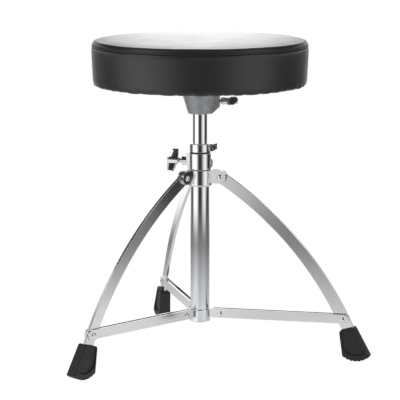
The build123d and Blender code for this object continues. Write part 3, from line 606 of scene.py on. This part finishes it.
def gathers(angle, pitch):
    """How far the hem bulges at each angle, from 0 at a staple to about 1 between two.

    Staples stand at uneven steps round the seat. Between two, the cloth rises as the square root
    of a half sine, which leaves a cusp at each staple, and each bulge has its own height.
    """
    draw = np.random.default_rng(7)
    count = round(2 * np.pi * BOARD_EDGE / pitch)
    steps = draw.uniform(0.62, 1.38, count)
    edges = np.concatenate([[0], np.cumsum(steps)]) / steps.sum() * 2 * np.pi
    height = draw.uniform(0.45, 1.0, count)
    here = np.clip(np.searchsorted(edges, angle, side="right") - 1, 0, count - 1)
    along = (angle - edges[here]) / (edges[here + 1] - edges[here])
    return height[here] * np.sqrt(np.sin(np.pi * np.clip(along, 0, 1)))


def slow_waves(angle, seed, orders=(2, 3, 5, 7, 11)):
    """A gentle unevenness from -1 to 1 round the seat: a few sines of low order."""
    draw = np.random.default_rng(seed)
    phase = draw.uniform(0, 2 * np.pi, len(orders))
    return sum(np.sin(n * angle + p) for n, p in zip(orders, phase)) / len(orders)


def top_profile(settings):
    """(radius, height) of the top panel, from its middle over the rim to the seam."""
    rim = settings.rim_radius
    rim_height = CROWN_TOP - settings.crown
    radius = np.linspace(0, rim - 3 * MM, 18)
    dome = np.stack([radius, CROWN_TOP - settings.crown * (radius / rim) ** 2], axis=-1)
    corner = rounded(
        [
            dome[-1],
            (rim + 8.4 * MM, rim_height - 0.7 * MM),
            (WELT_RADIUS - 0.8 * MM, SEAM_HEIGHT + 3.4 * MM),
            (WELT_RADIUS - 1.4 * MM, SEAM_HEIGHT + 2.3 * MM),
            (WELT_RADIUS - 3.0 * MM, SEAM_HEIGHT + 2.0 * MM),
        ],
        (5.5 * MM, 0.9 * MM, 0.5 * MM),
        10,
    )
    return np.concatenate([dome[:-1], evenly(corner, 34)])


def band_profile():
    """(radius, height) of the side band, from the seam down and under to its hem."""
    low = SEAT_UNDERSIDE
    return evenly(
        rounded(
            [
                (WELT_RADIUS - 2.6 * MM, SEAM_HEIGHT + 0.1 * MM),
                (WELT_RADIUS - 1.3 * MM, SEAM_HEIGHT - 0.1 * MM),
                (WELT_RADIUS - 0.05 * MM, SEAM_HEIGHT - 2.2 * MM),
                (WELT_RADIUS - 0.5 * MM, SEAM_HEIGHT - 8.0 * MM),
                (WELT_RADIUS - 2.4 * MM, low + 7 * MM),
                (WELT_RADIUS - 3.4 * MM, low + 0.3 * MM),
                (BOARD_EDGE - 6 * MM, low + 0.1 * MM),
                (HEM_RADIUS, low + 0.1 * MM),
            ],
            (0.8 * MM, 1.6 * MM, 8 * MM, 12 * MM, 3.4 * MM, 8 * MM),
            12,
        ),
        64,
    )


def thicken(piece, thickness):
    """Gives a one-sided surface a real thickness, towards its inside."""
    wall = piece.modifiers.new("wall", "SOLIDIFY")
    wall.thickness = thickness
    wall.offset = -1.0
    wall.use_even_offset = False
    finish_modifiers(piece)


def stretch_over_foam(piece, fixed, pressure, grip, limit):
    """Lets a cover settle as cloth that the foam presses outwards.

    Fixed says which points are sewn or stapled. The whole move is scaled down if a point would
    move by more than limit, so that the cover keeps its place.
    """
    scene = bpy.context.scene
    held = np.where(fixed, 1.0, grip)
    group = piece.vertex_groups.new(name="held")
    for weight in np.unique(held):
        group.add(np.flatnonzero(held == weight).tolist(), float(weight), "REPLACE")
    before = np.empty(len(piece.data.vertices) * 3, np.float32)
    piece.data.vertices.foreach_get("co", before)
    cloth = piece.modifiers.new("cloth", "CLOTH")
    settings = cloth.settings
    settings.quality = 4
    settings.mass = 0.01
    settings.tension_stiffness = 40
    settings.compression_stiffness = 40
    settings.shear_stiffness = 10
    settings.bending_stiffness = 1.5
    settings.vertex_group_mass = "held"
    settings.pin_stiffness = 6
    settings.use_pressure = True
    settings.uniform_pressure_force = pressure
    settings.effector_weights.gravity = 0
    cloth.collision_settings.use_collision = False
    cloth.collision_settings.use_self_collision = False
    for number in range(1, SETTLING_FRAMES + 1):
        scene.frame_set(number)
    finish_modifiers(piece)
    scene.frame_set(1)
    after = np.empty_like(before)
    piece.data.vertices.foreach_get("co", after)
    move = (after - before).reshape(-1, 3)
    far = float(np.linalg.norm(move, axis=1).max())
    move *= min(1.0, limit / max(far, 1e-9))
    piece.data.vertices.foreach_set("co", before + move.ravel())
    piece.data.update()
    print(piece.name, "settled by up to", round(far / MM, 2), "mm")


class THRONE_OT_cushion(bpy.types.Operator):
    """Makes the vinyl top panel and side band, with the foam inside them"""

    bl_idname = "throne.cushion"
    bl_label = "Upholster the seat"

    def execute(self, context):
        settings = context.scene.throne_cushion
        angle = full_turn(TURNS)
        outward = about_axis(1.0, angle, 0.0)

        # Top panel: a crowned profile carried round. Near the rim, slow waves move it in and out
        # and up and down.
        profile = top_profile(settings)
        top = lathe(profile, TURNS)
        rim = settings.rim_radius
        near_rim = np.exp(-((profile[:, 0] - rim - 6 * MM) / (7 * MM)) ** 2)[:, None]
        wander = 0.35 * MM * near_rim * slow_waves(angle, 3)
        top = top + wander[..., None] * outward
        top[..., 2] += 0.4 * MM * near_rim * slow_waves(angle, 5)
        panel = make_piece("cushion_top", [top], "seat", "black_vinyl")
        stretch_over_foam(panel, radius_of(panel) > rim, **TOP_STRETCH)
        thicken(panel, COVER_THICKNESS)
        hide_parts("seat_cover_top")

        # Side band: a profile carried round. Slow waves move its belly, each gather bulges out and
        # down at the hem, and the pleats underneath are a rectified sine.
        profile = band_profile()
        band = lathe(profile, TURNS)
        down = SEAM_HEIGHT - profile[:, 1]
        near_hem = np.exp(-((profile[:, 1] - SEAT_UNDERSIDE) / (7 * MM)) ** 2)[:, None]
        under = np.clip((BOARD_EDGE - profile[:, 0]) / (BOARD_EDGE - HEM_RADIUS), 0, 1)[:, None]
        bulge = gathers(angle, settings.gather_pitch)
        belly = np.sin(np.pi * np.clip(down / (50 * MM), 0, 1))[:, None]
        spread = near_hem * (1 - under) * (0.9 * MM * (bulge - 0.5))
        spread = spread + 0.14 * MM * belly * slow_waves(angle, 11, (9, 14, 23, 31))
        band = band + spread[..., None] * outward
        lift = -settings.gather_depth * near_hem * (1 - under) * (bulge - 0.35)
        pleats = -0.55 * MM * under * (1 - under) * 4 * np.abs(np.sin(44 * angle + 2 * bulge))
        band[..., 2] += lift + pleats
        band[..., 2] = np.maximum(band[..., 2], SEAT_UNDERSIDE - 1.4 * MM)
        side = make_piece("cushion_band", [band], "seat", "black_vinyl")
        height = height_of(side)
        sewn = height > SEAM_HEIGHT - 2.5 * MM
        stapled = (height < SEAT_UNDERSIDE + 0.6 * MM) & (radius_of(side) < BOARD_EDGE - 4 * MM)
        stretch_over_foam(side, sewn | stapled, **BAND_STRETCH)
        thicken(side, COVER_THICKNESS * 0.8)
        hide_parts("seat_cover_band")

        # Foam: follows the inside of the cover
        inner = rounded(
            [
                (0, CROWN_TOP - FOAM_DEPTH),
                (rim, CROWN_TOP - settings.crown - FOAM_DEPTH),
                (WELT_RADIUS - 4.0 * MM, SEAM_HEIGHT + 1 * MM),
                (WELT_RADIUS - 4.4 * MM, FOAM_BOTTOM + 0.1 * MM),
                (0, FOAM_BOTTOM + 0.1 * MM),
            ],
            (8 * MM, 3 * MM, 1.5 * MM),
            8,
        )
        foam = make_piece("foam_block", [lathe(inner, 180)], "seat", "foam")
        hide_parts("seat_foam")
        return {"FINISHED"}


class THRONE_OT_seam(bpy.types.Operator):
    """Makes the welt in the seam and the stitches below it"""

    bl_idname = "throne.seam"
    bl_label = "Sew the seam"

    def execute(self, context):
        settings = context.scene.throne_cushion
        stitches = round(2 * np.pi * WELT_RADIUS / settings.stitch_pitch)
        angle = full_turn(6 * stitches)

        # Welt: a circle of vinyl-covered cord, drawn in a little at each stitch
        around = full_turn(14)[:, None]
        cord = WELT_THICKNESS * (1 + 0.06 * np.cos(stitches * angle))
        radius = WELT_RADIUS - WELT_THICKNESS - 0.1 * MM + cord * np.cos(around)
        height = SEAM_HEIGHT + 1.25 * MM + cord * np.sin(around)
        welt = about_axis(radius, angle, height)
        piping = make_piece("cushion_welt", [welt], "seat", "black_vinyl", loops=(True, True))
        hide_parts("seat_piping")

        # Stitches: short capsules, end to end, in the groove below the welt
        long, thick = 0.62 * settings.stitch_pitch / 2, 0.28 * MM
        along = np.linspace(-1, 1, 7)[:, None]
        side = full_turn(6)
        waist = thick * np.sqrt(np.clip(1 - along**4, 0, 1))
        capsule = [long * along + 0 * side, waist * np.cos(side), waist * np.sin(side)]
        turn = full_turn(stitches)
        outward = about_axis(1.0, turn, 0.0)
        centres = outward * (WELT_RADIUS - 0.55 * MM) + UP * (SEAM_HEIGHT - 1.0 * MM)
        row = copies(np.stack(capsule, axis=-1), centres, np.cross(UP, outward), outward)
        make_piece("seam_stitches", row, "seat", "black_vinyl", finish="black_thread")
        return {"FINISHED"}


class THRONE_OT_underside(bpy.types.Operator):
    """Makes the dust cloth under the board and the staples that hold it"""

    bl_idname = "throne.underside"
    bl_label = "Close the underside"

    def execute(self, context):
        # Cloth: flat, sagging by up to 0.5 mm between its staples, with an uneven cut edge
        inner, outer = DUST_CLOTH_HOLE, DUST_CLOTH_EDGE
        angle = full_turn(360)
        radius = np.linspace(inner, outer, 24)[:, None]
        share = (radius - inner) / (outer - inner)
        edge = 1.2 * MM * share**6 * slow_waves(angle, 17, (5, 8, 13, 21))
        unevenness = 0.6 + 0.4 * slow_waves(angle, 19, (6, 9, 15))
        sag = 0.5 * MM * np.sin(np.pi * share) * unevenness
        points = about_axis(radius + edge, angle, SEAT_UNDERSIDE - 0.55 * MM - sag)
        cloth = make_piece("dust_cloth", [points], "seat", "black_cloth")
        thicken(cloth, 0.35 * MM)
        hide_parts("seat_dust_cloth")

        # Staples: flat wire crowns, 10 mm long, a little out of place and out of line with the edge
        draw = np.random.default_rng(23)
        turn = full_turn(STAPLE_COUNT) + draw.uniform(-0.02, 0.02, STAPLE_COUNT)
        skew = np.pi / 2 + turn + draw.uniform(-0.18, 0.18, STAPLE_COUNT)
        ring = STAPLE_RING + draw.uniform(-1.2, 1.2, STAPLE_COUNT) * MM
        bend = rounded([(-5.0, 1.5), (-5.0, 0), (5.0, 0), (5.0, 1.5)], (0.8, 0.8), 4)
        bend = evenly(bend, 12) * MM
        section = full_turn(8)
        wide = 0.6 * MM * swell(np.cos(section), 0.4)
        tall = 0.25 * MM * swell(np.sin(section), 0.4)
        wire = np.stack(np.broadcast_arrays(bend[:, :1], wide, bend[:, 1:2] + tall), axis=-1)
        centres = about_axis(ring, turn, SEAT_UNDERSIDE - 0.95 * MM)
        ahead = about_axis(1.0, skew, 0.0)
        staples = copies(wire, centres, ahead, np.cross(UP, ahead))
        make_piece("hem_staples", staples, "seat", "zinc_steel")
        return {"FINISHED"}


# Wing bolts and rivets: sizes that the solids have too

WING_LENGTH_MM = 17.2
WING_SPAN_MM = 17.7
WING_HUB_MM = 4.8
RIVET_SHANK = 2.9 * MM
RIVET_HEAD = 4.3 * MM
BRACE_HALF_WIDTH = 5.4 * MM
EAR_HALF_WIDTH = 6.0 * MM
EAR_INNER = 2.45 * MM

# The thread, which the solids leave out
THREAD_RADIUS_MM = 3.0
THREAD_PITCH_MM = 1.0
THREAD_DEPTH_MM = 0.5

# The share of a wing's span at which its rounded tip starts, and how far its outer edge ends from
# where the wing starts along the bolt
WING_TIP = 0.86
WING_TIP_REACH_MM = 10.4

# Each wing bolt's node and joint, then, in millimetres from the post's axis, its tip, its neck,
# that neck's radius and where its wings start, and the turn of its wings in degrees
WING_BOLTS = (
    ("height_wing_bolt", "height_bolt_turn", 13.3, 27.7, 3.5, 33.8, 20.0),
    ("seat_wing_bolt", "seat_bolt_turn", 11.4, 31.2, 5.4, 39.6, 102.0),
)
JOINTS = {joint["name"]: joint for joint in frame["joints"]}


def wing(inner, outer, span, flip):
    """One wing of a wing bolt, in millimetres: along the bolt, across its thickness, and up.

    A rounded rectangle is carried up the wing. Its inner edge stays upright, its outer edge leans
    in, it thins towards the tip, and the last part closes as a quarter ellipse.
    """
    rest = 1 - WING_TIP
    tip = 1 - rest * np.linspace(1, 0, 10)[1:] ** 2
    share = np.concatenate([np.linspace(0, WING_TIP, 18), tip])[:, None]
    close = np.sqrt(np.clip(1 - np.clip((share - WING_TIP) / rest, 0, 1) ** 2, 0, 1))
    low_edge = inner + 0.6 * share
    high_edge = outer - (outer - inner - WING_TIP_REACH_MM) * share**1.3
    middle, half = (low_edge + high_edge) / 2, (high_edge - low_edge) / 2
    half = half - 0.9 * (1 - close)
    thick = (2.0 - 0.75 * share) * (0.35 + 0.65 * close)
    turn = full_turn(40)
    wide = swell(np.cos(turn), 0.45)
    deep = swell(np.sin(turn), 0.8)
    x, y, z = middle + half * wide, thick * deep, span * share + 0 * turn
    if flip:
        x, z = inner + outer - x, -z
    skin = np.stack([x, y, z], axis=-1)
    first, last = (np.broadcast_to(end.mean(axis=0), end.shape) for end in (skin[0], skin[-1]))
    return np.concatenate([first[None], skin, last[None]])


def along_bolt(along, radius):
    """Points about a bolt's own axis: (distance along, r cos t, r sin t), t being the columns."""
    turn = full_turn(radius.shape[1])
    parts = np.broadcast_arrays(along, radius * np.cos(turn), radius * np.sin(turn))
    return np.stack(parts, axis=-1)


def screw_thread(start, end):
    """A V thread as one grid: the radius rises and falls once for each turn and each pitch."""
    turn = full_turn(32)
    along = np.linspace(start, end, int((end - start) / THREAD_PITCH_MM * 8))[:, None]
    phase = (along / THREAD_PITCH_MM - turn / (2 * np.pi)) % 1
    edge = np.clip(np.minimum(along - start, end - along) / THREAD_PITCH_MM, 0, 1)
    wall = THREAD_RADIUS_MM - THREAD_DEPTH_MM * (1 - np.abs(2 * phase - 1)) * edge
    wall[0], wall[-1] = 0, 0
    return along_bolt(along, wall)


def cast_together(piece):
    """Melts overlapping shells into one skin with small fillets, as a casting has."""
    remesh = piece.modifiers.new("skin", "REMESH")
    remesh.mode = "VOXEL"
    remesh.voxel_size = 0.35 * MM
    smooth = piece.modifiers.new("fillets", "SMOOTH")
    smooth.factor = 0.5
    smooth.iterations = 6
    finish_modifiers(piece)
    shade_smooth(piece.data)


class THRONE_OT_wing_bolts(bpy.types.Operator):
    """Makes the two cast wing bolts, each on its threaded shank"""

    bl_idname = "throne.wing_bolts"
    bl_label = "Cast the wing bolts"

    def execute(self, context):
        for node, joint, tip, neck, neck_radius, inner, lean in WING_BOLTS:
            outer = inner + WING_LENGTH_MM
            axis = Vector(JOINTS[joint]["axis"])
            up = Matrix.Rotation(math.radians(lean), 3, axis) @ Vector((0, 0, 1))
            rows = np.array([axis, up.cross(axis), up])
            origin = np.array([0, 0, JOINTS[joint]["pos_m"][2]])

            # Head: a turned hub with a wing on each side of it
            hub = rounded(
                [
                    (neck, 0), (neck, neck_radius), (neck + 0.55 * (inner - neck), neck_radius),
                    (inner, WING_HUB_MM), (outer - 0.3, WING_HUB_MM - 0.3), (outer, 0),
                ],
                (0.5, 1.6, 1.6, 1.4),
            )
            hub = evenly(hub, 60)
            shells = [along_bolt(hub[:, :1], np.repeat(hub[:, 1:], 48, axis=1))]
            for flip in (False, True):
                shells.append(wing(inner, outer - 0.6, WING_SPAN_MM, flip))
            shells = [shell * MM @ rows + origin for shell in shells]
            head = make_piece(node + "_head", shells, node, "chrome_small")
            cast_together(head)
            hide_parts(node)

            # Shank: from the bolt's tip to just inside its head
            shank = screw_thread(tip, neck + 1.0) * MM @ rows + origin
            make_piece(node + "_thread", [shank], node, "chrome_small")
        return {"FINISHED"}


# Rivets


def rivet_ends(centre, axis, inner, outer):
    """The two domed ends of a rivet, one grid each, as distances in metres along its axis.

    A shank runs from inner to outer on each side of the centre, and ends in a head: a quarter of an
    ellipse turned about the axis, half as high as it is wide.
    """
    bow = np.linspace(0, np.pi / 2, 9)[:, None]
    dome = [RIVET_HEAD * np.cos(bow), outer + 0.5 * RIVET_HEAD * np.sin(bow)]
    dome = np.concatenate(dome, axis=-1)
    shank = np.array([(0, inner), (RIVET_SHANK, inner), (RIVET_SHANK, outer)])
    outline = np.concatenate([shank, dome])
    angle = full_turn(28)
    around = np.cos(angle)[:, None] * np.cross(axis, UP) + np.sin(angle)[:, None] * UP
    for way in (1, -1):
        yield centre + outline[:, :1, None] * around + way * outline[:, 1:, None] * axis


class THRONE_OT_rivets(bpy.types.Operator):
    """Makes the domed rivets of the legs and braces"""

    bl_idname = "throne.rivets"
    bl_label = "Rivet the legs"

    def execute(self, context):
        upper = []
        for leg in ("right", "front", "back"):
            axis = np.array(JOINTS[f"brace_{leg}_pivot"]["axis"])
            ends = []
            for pivot in (f"brace_{leg}_pivot", f"leg_{leg}_pivot"):
                centre = np.array(JOINTS[pivot]["pos_m"]) - POST
                ends += rivet_ends(centre, axis, 0.0, BRACE_HALF_WIDTH)
            rivets = make_piece(f"brace_{leg}_rivets", ends, f"brace_{leg}", "chrome_small")
            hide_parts(f"brace_rivets_{leg}")
            low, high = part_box(f"leg_bush_{leg}")
            middle = np.array((low + high) / 2) - POST
            upper += rivet_ends(middle, axis, EAR_INNER, EAR_HALF_WIDTH)
        rivets = make_piece("ear_rivets", upper, "base", "chrome_small")
        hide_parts("upper_leg_rivets")
        return {"FINISHED"}


# Stage

FLOOR_REACH = 60.0
DOME_RADIUS = 14.0

# The ring of reflectors, the ceiling just below its top, and the gap under the ring. The hole in
# the middle of each disc is a share of the disc's radius.
RING_SIDES = 144
RING_HEIGHT = 1.2
CEILING_HEIGHT = 1.19
SHEET_LIFT = 0.002
DISC_HOLE = 0.02

# Each light's name, its place, the point that it faces, and its size
LIGHTS = (
    ("left", (-2.0, -1.9, 1.7), (0, 0, 0.3), 1.4),
    ("right", (2.1, -1.7, 1.5), (0, 0, 0.3), 1.4),
    ("rear", (0.0, 2.6, 2.0), (0, 0, 0.4), 1.6),
)

# The far floor's brightness, as a share of the near floor's, and the distances between which it
# falls to that
FAR_FLOOR = 0.33
NEAR_REACH, FAR_REACH = 0.3, 0.85

# Degrees from the camera's side, negative to the left, and brightness there
GROUND_STOPS = (
    (-180, 0.8), (-110, 0.85), (-70, 1.15), (-40, 1.35), (-20, 0.9), (-8, 0.83), (10, 0.83),
    (34, 0.95), (60, 0.95), (75, 0.85), (90, 0.68), (110, 0.65), (140, 0.8), (180, 0.8),
)
SOFTBOX_STOPS = (
    (-180, 1.33), (-152, 1.33), (-138, 0.3), (-121, 0.28), (-100, 0.11), (-92, 0.11), (-82, 1.14),
    (-72, 1.63), (-38, 1.63), (-29, 0.95), (-14, 0.06), (14, 0.05), (28, 0.57), (43, 1.18),
    (62, 1.25), (74, 0.57), (86, 0.04), (98, 0.03), (117, 0.17), (138, 0.27), (152, 1.33),
    (180, 1.33),
)
HIGH_STOPS = (
    (-180, 4.0), (-172, 3.6), (-163, 1.7), (-140, 1.0), (-50, 0.8), (-42, 0.04), (-20, 0.04),
    (-12, 0.8), (140, 1.0), (163, 1.7), (172, 3.6), (180, 4.0),
)
TOP_STOPS = (
    (-180, 3.6), (-172, 3.2), (-160, 0.1), (-82, 0.04), (-74, 2.5), (-46, 2.5), (-38, 0.03),
    (38, 0.03), (46, 2.1), (72, 2.1), (80, 0.04), (160, 0.1), (172, 3.2), (180, 3.6),
)

# Each layer of the ring: the heights between which it fades in, and its brightness
WALL_LAYERS = (
    (0, 0, tuple((degrees, FAR_FLOOR * light) for degrees, light in GROUND_STOPS)),
    (0.0, 0.1, SOFTBOX_STOPS),
    (0.42, 0.5, HIGH_STOPS),
    (0.68, 0.74, TOP_STOPS),
)


def ring_position(tree, place):
    """Where a reflector's point lies about the post: its direction, distance and height.

    The direction runs from 0 to 1 once round, with the middle, 0.5, on the camera's side.
    """
    about = add(tree, "Mapping", {"Vector": place, "Location": -POST})
    split = add(tree, "SeparateXYZ", {"Vector": about})
    towards = add(tree, "Math", {0: split.outputs["Y"], 1: -1.0}, operation="MULTIPLY")
    angle = add(tree, "Math", {0: split.outputs["X"], 1: towards}, operation="ARCTAN2")
    once_round = {"Value": angle, "From Min": -math.pi, "From Max": math.pi}
    direction = add(tree, "MapRange", once_round)
    flat = add(tree, "Mapping", {"Vector": about, "Scale": (1, 1, 0)})
    distance = add(tree, "VectorMath", {0: flat}, operation="LENGTH")
    return direction, distance, split.outputs["Z"]


def brightness_by_direction(tree, direction, stops):
    """A brightness from a list of (degrees from the camera's side, brightness), left negative."""
    ramp = add(tree, "ValToRGB", {"Fac": direction})
    elements = ramp.color_ramp.elements
    elements.remove(elements[-1])
    for number, (degrees, light) in enumerate(stops):
        position = (degrees + 180) / 360
        element = elements.new(position) if number else elements[0]
        element.position = position
        element.color = (light, light, light, 1)
    return ramp


def wall_reflector(tree, place):
    """A ring of softboxes and black flags, seen only in reflections.

    Its bright and black stretches give chrome its long bands. It has four layers, which fade into
    each other: the floor's own brightness at its foot, the softboxes, a light at the seat's height
    that is strongest behind, and above it a narrow light at each side and behind, black between.
    """
    direction, _, height = ring_position(tree, place)
    light = brightness_by_direction(tree, direction, WALL_LAYERS[0][2])
    for low, high, stops in WALL_LAYERS[1:]:
        rise = {"Value": height, "From Min": low, "From Max": high}
        fade = add(tree, "MapRange", rise, interpolation_type="SMOOTHSTEP")
        layer = brightness_by_direction(tree, direction, stops)
        light = add(tree, "Mix", {0: fade, 6: light, 7: layer}, data_type="RGBA")
    return add(tree, "Emission", {"Color": light, "Strength": 1.0})


def ground_reflector(tree, place):
    """The floor as bright metal sees it: bright near the object, and darker further out."""
    direction, distance, _ = ring_position(tree, place)
    light = brightness_by_direction(tree, direction, GROUND_STOPS)
    reach = {"Value": distance, "From Min": NEAR_REACH, "From Max": FAR_REACH}
    fall = add(tree, "MapRange", {**reach, "To Min": 1.0, "To Max": FAR_FLOOR})
    return add(tree, "Emission", {"Color": light, "Strength": fall})


def pale_floor(tree, place, colour, glow):
    """Matt painted floor, slightly mottled, which also gives off an even light."""
    mottle = add(tree, "TexNoise", {"Vector": place, "Scale": 3.0})
    tint = {0: mottle, 6: rgba(colour, 0.98), 7: rgba(colour)}
    paint = {
        "Base Color": add(tree, "Mix", tint, data_type="RGBA"),
        "Roughness": 0.9,
        "Specular IOR Level": 0.0,
        "Emission Color": (1, 1, 1, 1),
        "Emission Strength": glow,
    }
    return add(tree, "BsdfPrincipled", paint)


def even_glow(tree, place, colour, strength):
    """Lit paper or cloth: the same light from every point of it, so its place isn't used."""
    return add(tree, "Emission", {"Color": colour, "Strength": strength})


def stage_sheet(name, points, material, *hidden_from):
    """A plain grid of points that belongs to the stage, hidden from the kinds of ray named."""
    rows, columns = points.shape[:2]
    faces = grid_faces(rows, columns, False, False)
    mesh = bpy.data.meshes.new(name)
    mesh.from_pydata(points.reshape(-1, 3).tolist(), [], faces.tolist())
    mesh.materials.append(material)
    sheet = bpy.data.objects.new(name, mesh)
    bpy.context.scene.collection.objects.link(sheet)
    for ray in hidden_from:
        setattr(sheet, "visible_" + ray, False)


def area_light(name, place, aim, size, power):
    """A square soft light at a place, turned to a point, and kept out of reflections."""
    data = bpy.data.lights.new(name, "AREA")
    data.shape, data.size, data.energy = "SQUARE", size, power
    lamp = bpy.data.objects.new(name, data)
    lamp.location = place
    lamp.rotation_euler = (Vector(aim) - Vector(place)).to_track_quat("-Z", "Y").to_euler()
    lamp.visible_glossy = False
    bpy.context.scene.collection.objects.link(lamp)


class THRONE_OT_stage(bpy.types.Operator):
    """Makes the floor, the ring of reflectors, the lights and the camera"""

    bl_idname = "throne.stage"
    bl_label = "Set the stage"

    def execute(self, context):
        scene = context.scene
        settings = scene.throne_stage

        # Floor: wide enough to light the object from every side
        corner = np.array([-FLOOR_REACH, FLOOR_REACH])
        x, y = np.meshgrid(corner, corner)
        flat = np.stack([x, y, 0 * x], axis=-1)
        paint = make_material("pale_floor", pale_floor, settings.floor, settings.glow)
        stage_sheet("floor", flat, paint, "glossy", "camera")

        # Backdrop: a pale dome that only the camera sees, so that a folded base, whose feet swing
        # below the floor, stays in view
        half = np.pi / 2
        around, up = np.meshgrid(np.linspace(0, 2 * np.pi, 65), np.linspace(-half, half, 33))
        dome = DOME_RADIUS * about_axis(np.cos(up), around, np.sin(up))
        paper = make_material("pale_backdrop", even_glow, rgba(settings.floor, 1.08), 1.0)
        stage_sheet("backdrop", dome, paper, "glossy", "diffuse", "shadow", "transmission")

        # Reflectors: a ring round the object, the floor as the metal sees it, and a ceiling
        angle = np.linspace(0, 2 * np.pi, RING_SIDES + 1)
        ring = about_axis(settings.surround_radius, angle, SHEET_LIFT) + POST
        wall = np.stack([ring, ring + RING_HEIGHT * UP])
        disc = np.stack([ring, DISC_HOLE * (ring - POST) + SHEET_LIFT * UP + POST])
        overhead = make_material("overhead_softbox", even_glow, rgba((1, 1, 1)), 0.35)
        flags = make_material("softboxes_and_flags", wall_reflector)
        ground = make_material("floor_in_reflections", ground_reflector)
        for name, points, shine in (
            ("softboxes", wall, flags),
            ("ground_reflector", disc, ground),
            ("overhead_reflector", disc + CEILING_HEIGHT * UP, overhead),
        ):
            stage_sheet(name, points, shine, "camera", "diffuse", "shadow", "transmission")

        for side, place, aim, size in LIGHTS:
            power = getattr(settings, side + "_power")
            area_light(side + "_softbox", place, aim, size, power)

        world = bpy.data.worlds.new("studio")
        world.use_nodes = True
        background = world.node_tree.nodes["Background"].inputs
        background["Color"].default_value = (1, 1, 1, 1)
        background["Strength"].default_value = settings.sky
        scene.world = world
        world.cycles_visibility.glossy = False
        scene.view_settings.view_transform = "Standard"

        data = bpy.data.cameras.new("camera")
        data.lens = settings.lens
        data.sensor_width = 36
        camera = bpy.data.objects.new("camera", data)
        camera.location = POST + np.array([0, -settings.camera_distance, settings.camera_height])
        camera.rotation_euler = (math.pi / 2 - settings.camera_pitch, 0, 0)
        scene.collection.objects.link(camera)
        scene.camera = camera
        return {"FINISHED"}


OPERATORS = (
    THRONE_OT_finishes,
    THRONE_OT_cushion,
    THRONE_OT_seam,
    THRONE_OT_underside,
    THRONE_OT_wing_bolts,
    THRONE_OT_rivets,
    THRONE_OT_stage,
)


class THRONE_PT_panel(bpy.types.Panel):
    """Lists the throne's operators"""

    bl_label = "Drum throne"
    bl_idname = "THRONE_PT_panel"
    bl_space_type = "VIEW_3D"
    bl_region_type = "UI"
    bl_category = "Throne"

    def draw(self, context):
        for operator in OPERATORS:
            self.layout.operator(operator.bl_idname)


SETTINGS = {
    "throne_cushion": CushionSettings,
    "throne_metal": MetalSettings,
    "throne_stage": StageSettings,
}


def register():
    for name, group in SETTINGS.items():
        bpy.utils.register_class(group)
        setattr(bpy.types.Scene, name, PointerProperty(type=group))
    for operator in OPERATORS:
        bpy.utils.register_class(operator)
    bpy.utils.register_class(THRONE_PT_panel)


def unregister():
    bpy.utils.unregister_class(THRONE_PT_panel)
    for operator in reversed(OPERATORS):
        bpy.utils.unregister_class(operator)
    for name, group in SETTINGS.items():
        delattr(bpy.types.Scene, name)
        bpy.utils.unregister_class(group)


def main():
    register()
    bpy.ops.throne.stage()
    bpy.ops.throne.finishes()
    bpy.ops.throne.cushion()
    bpy.ops.throne.seam()
    bpy.ops.throne.underside()
    bpy.ops.throne.wing_bolts()
    bpy.ops.throne.rivets()


if __name__ == "__main__":
    main()
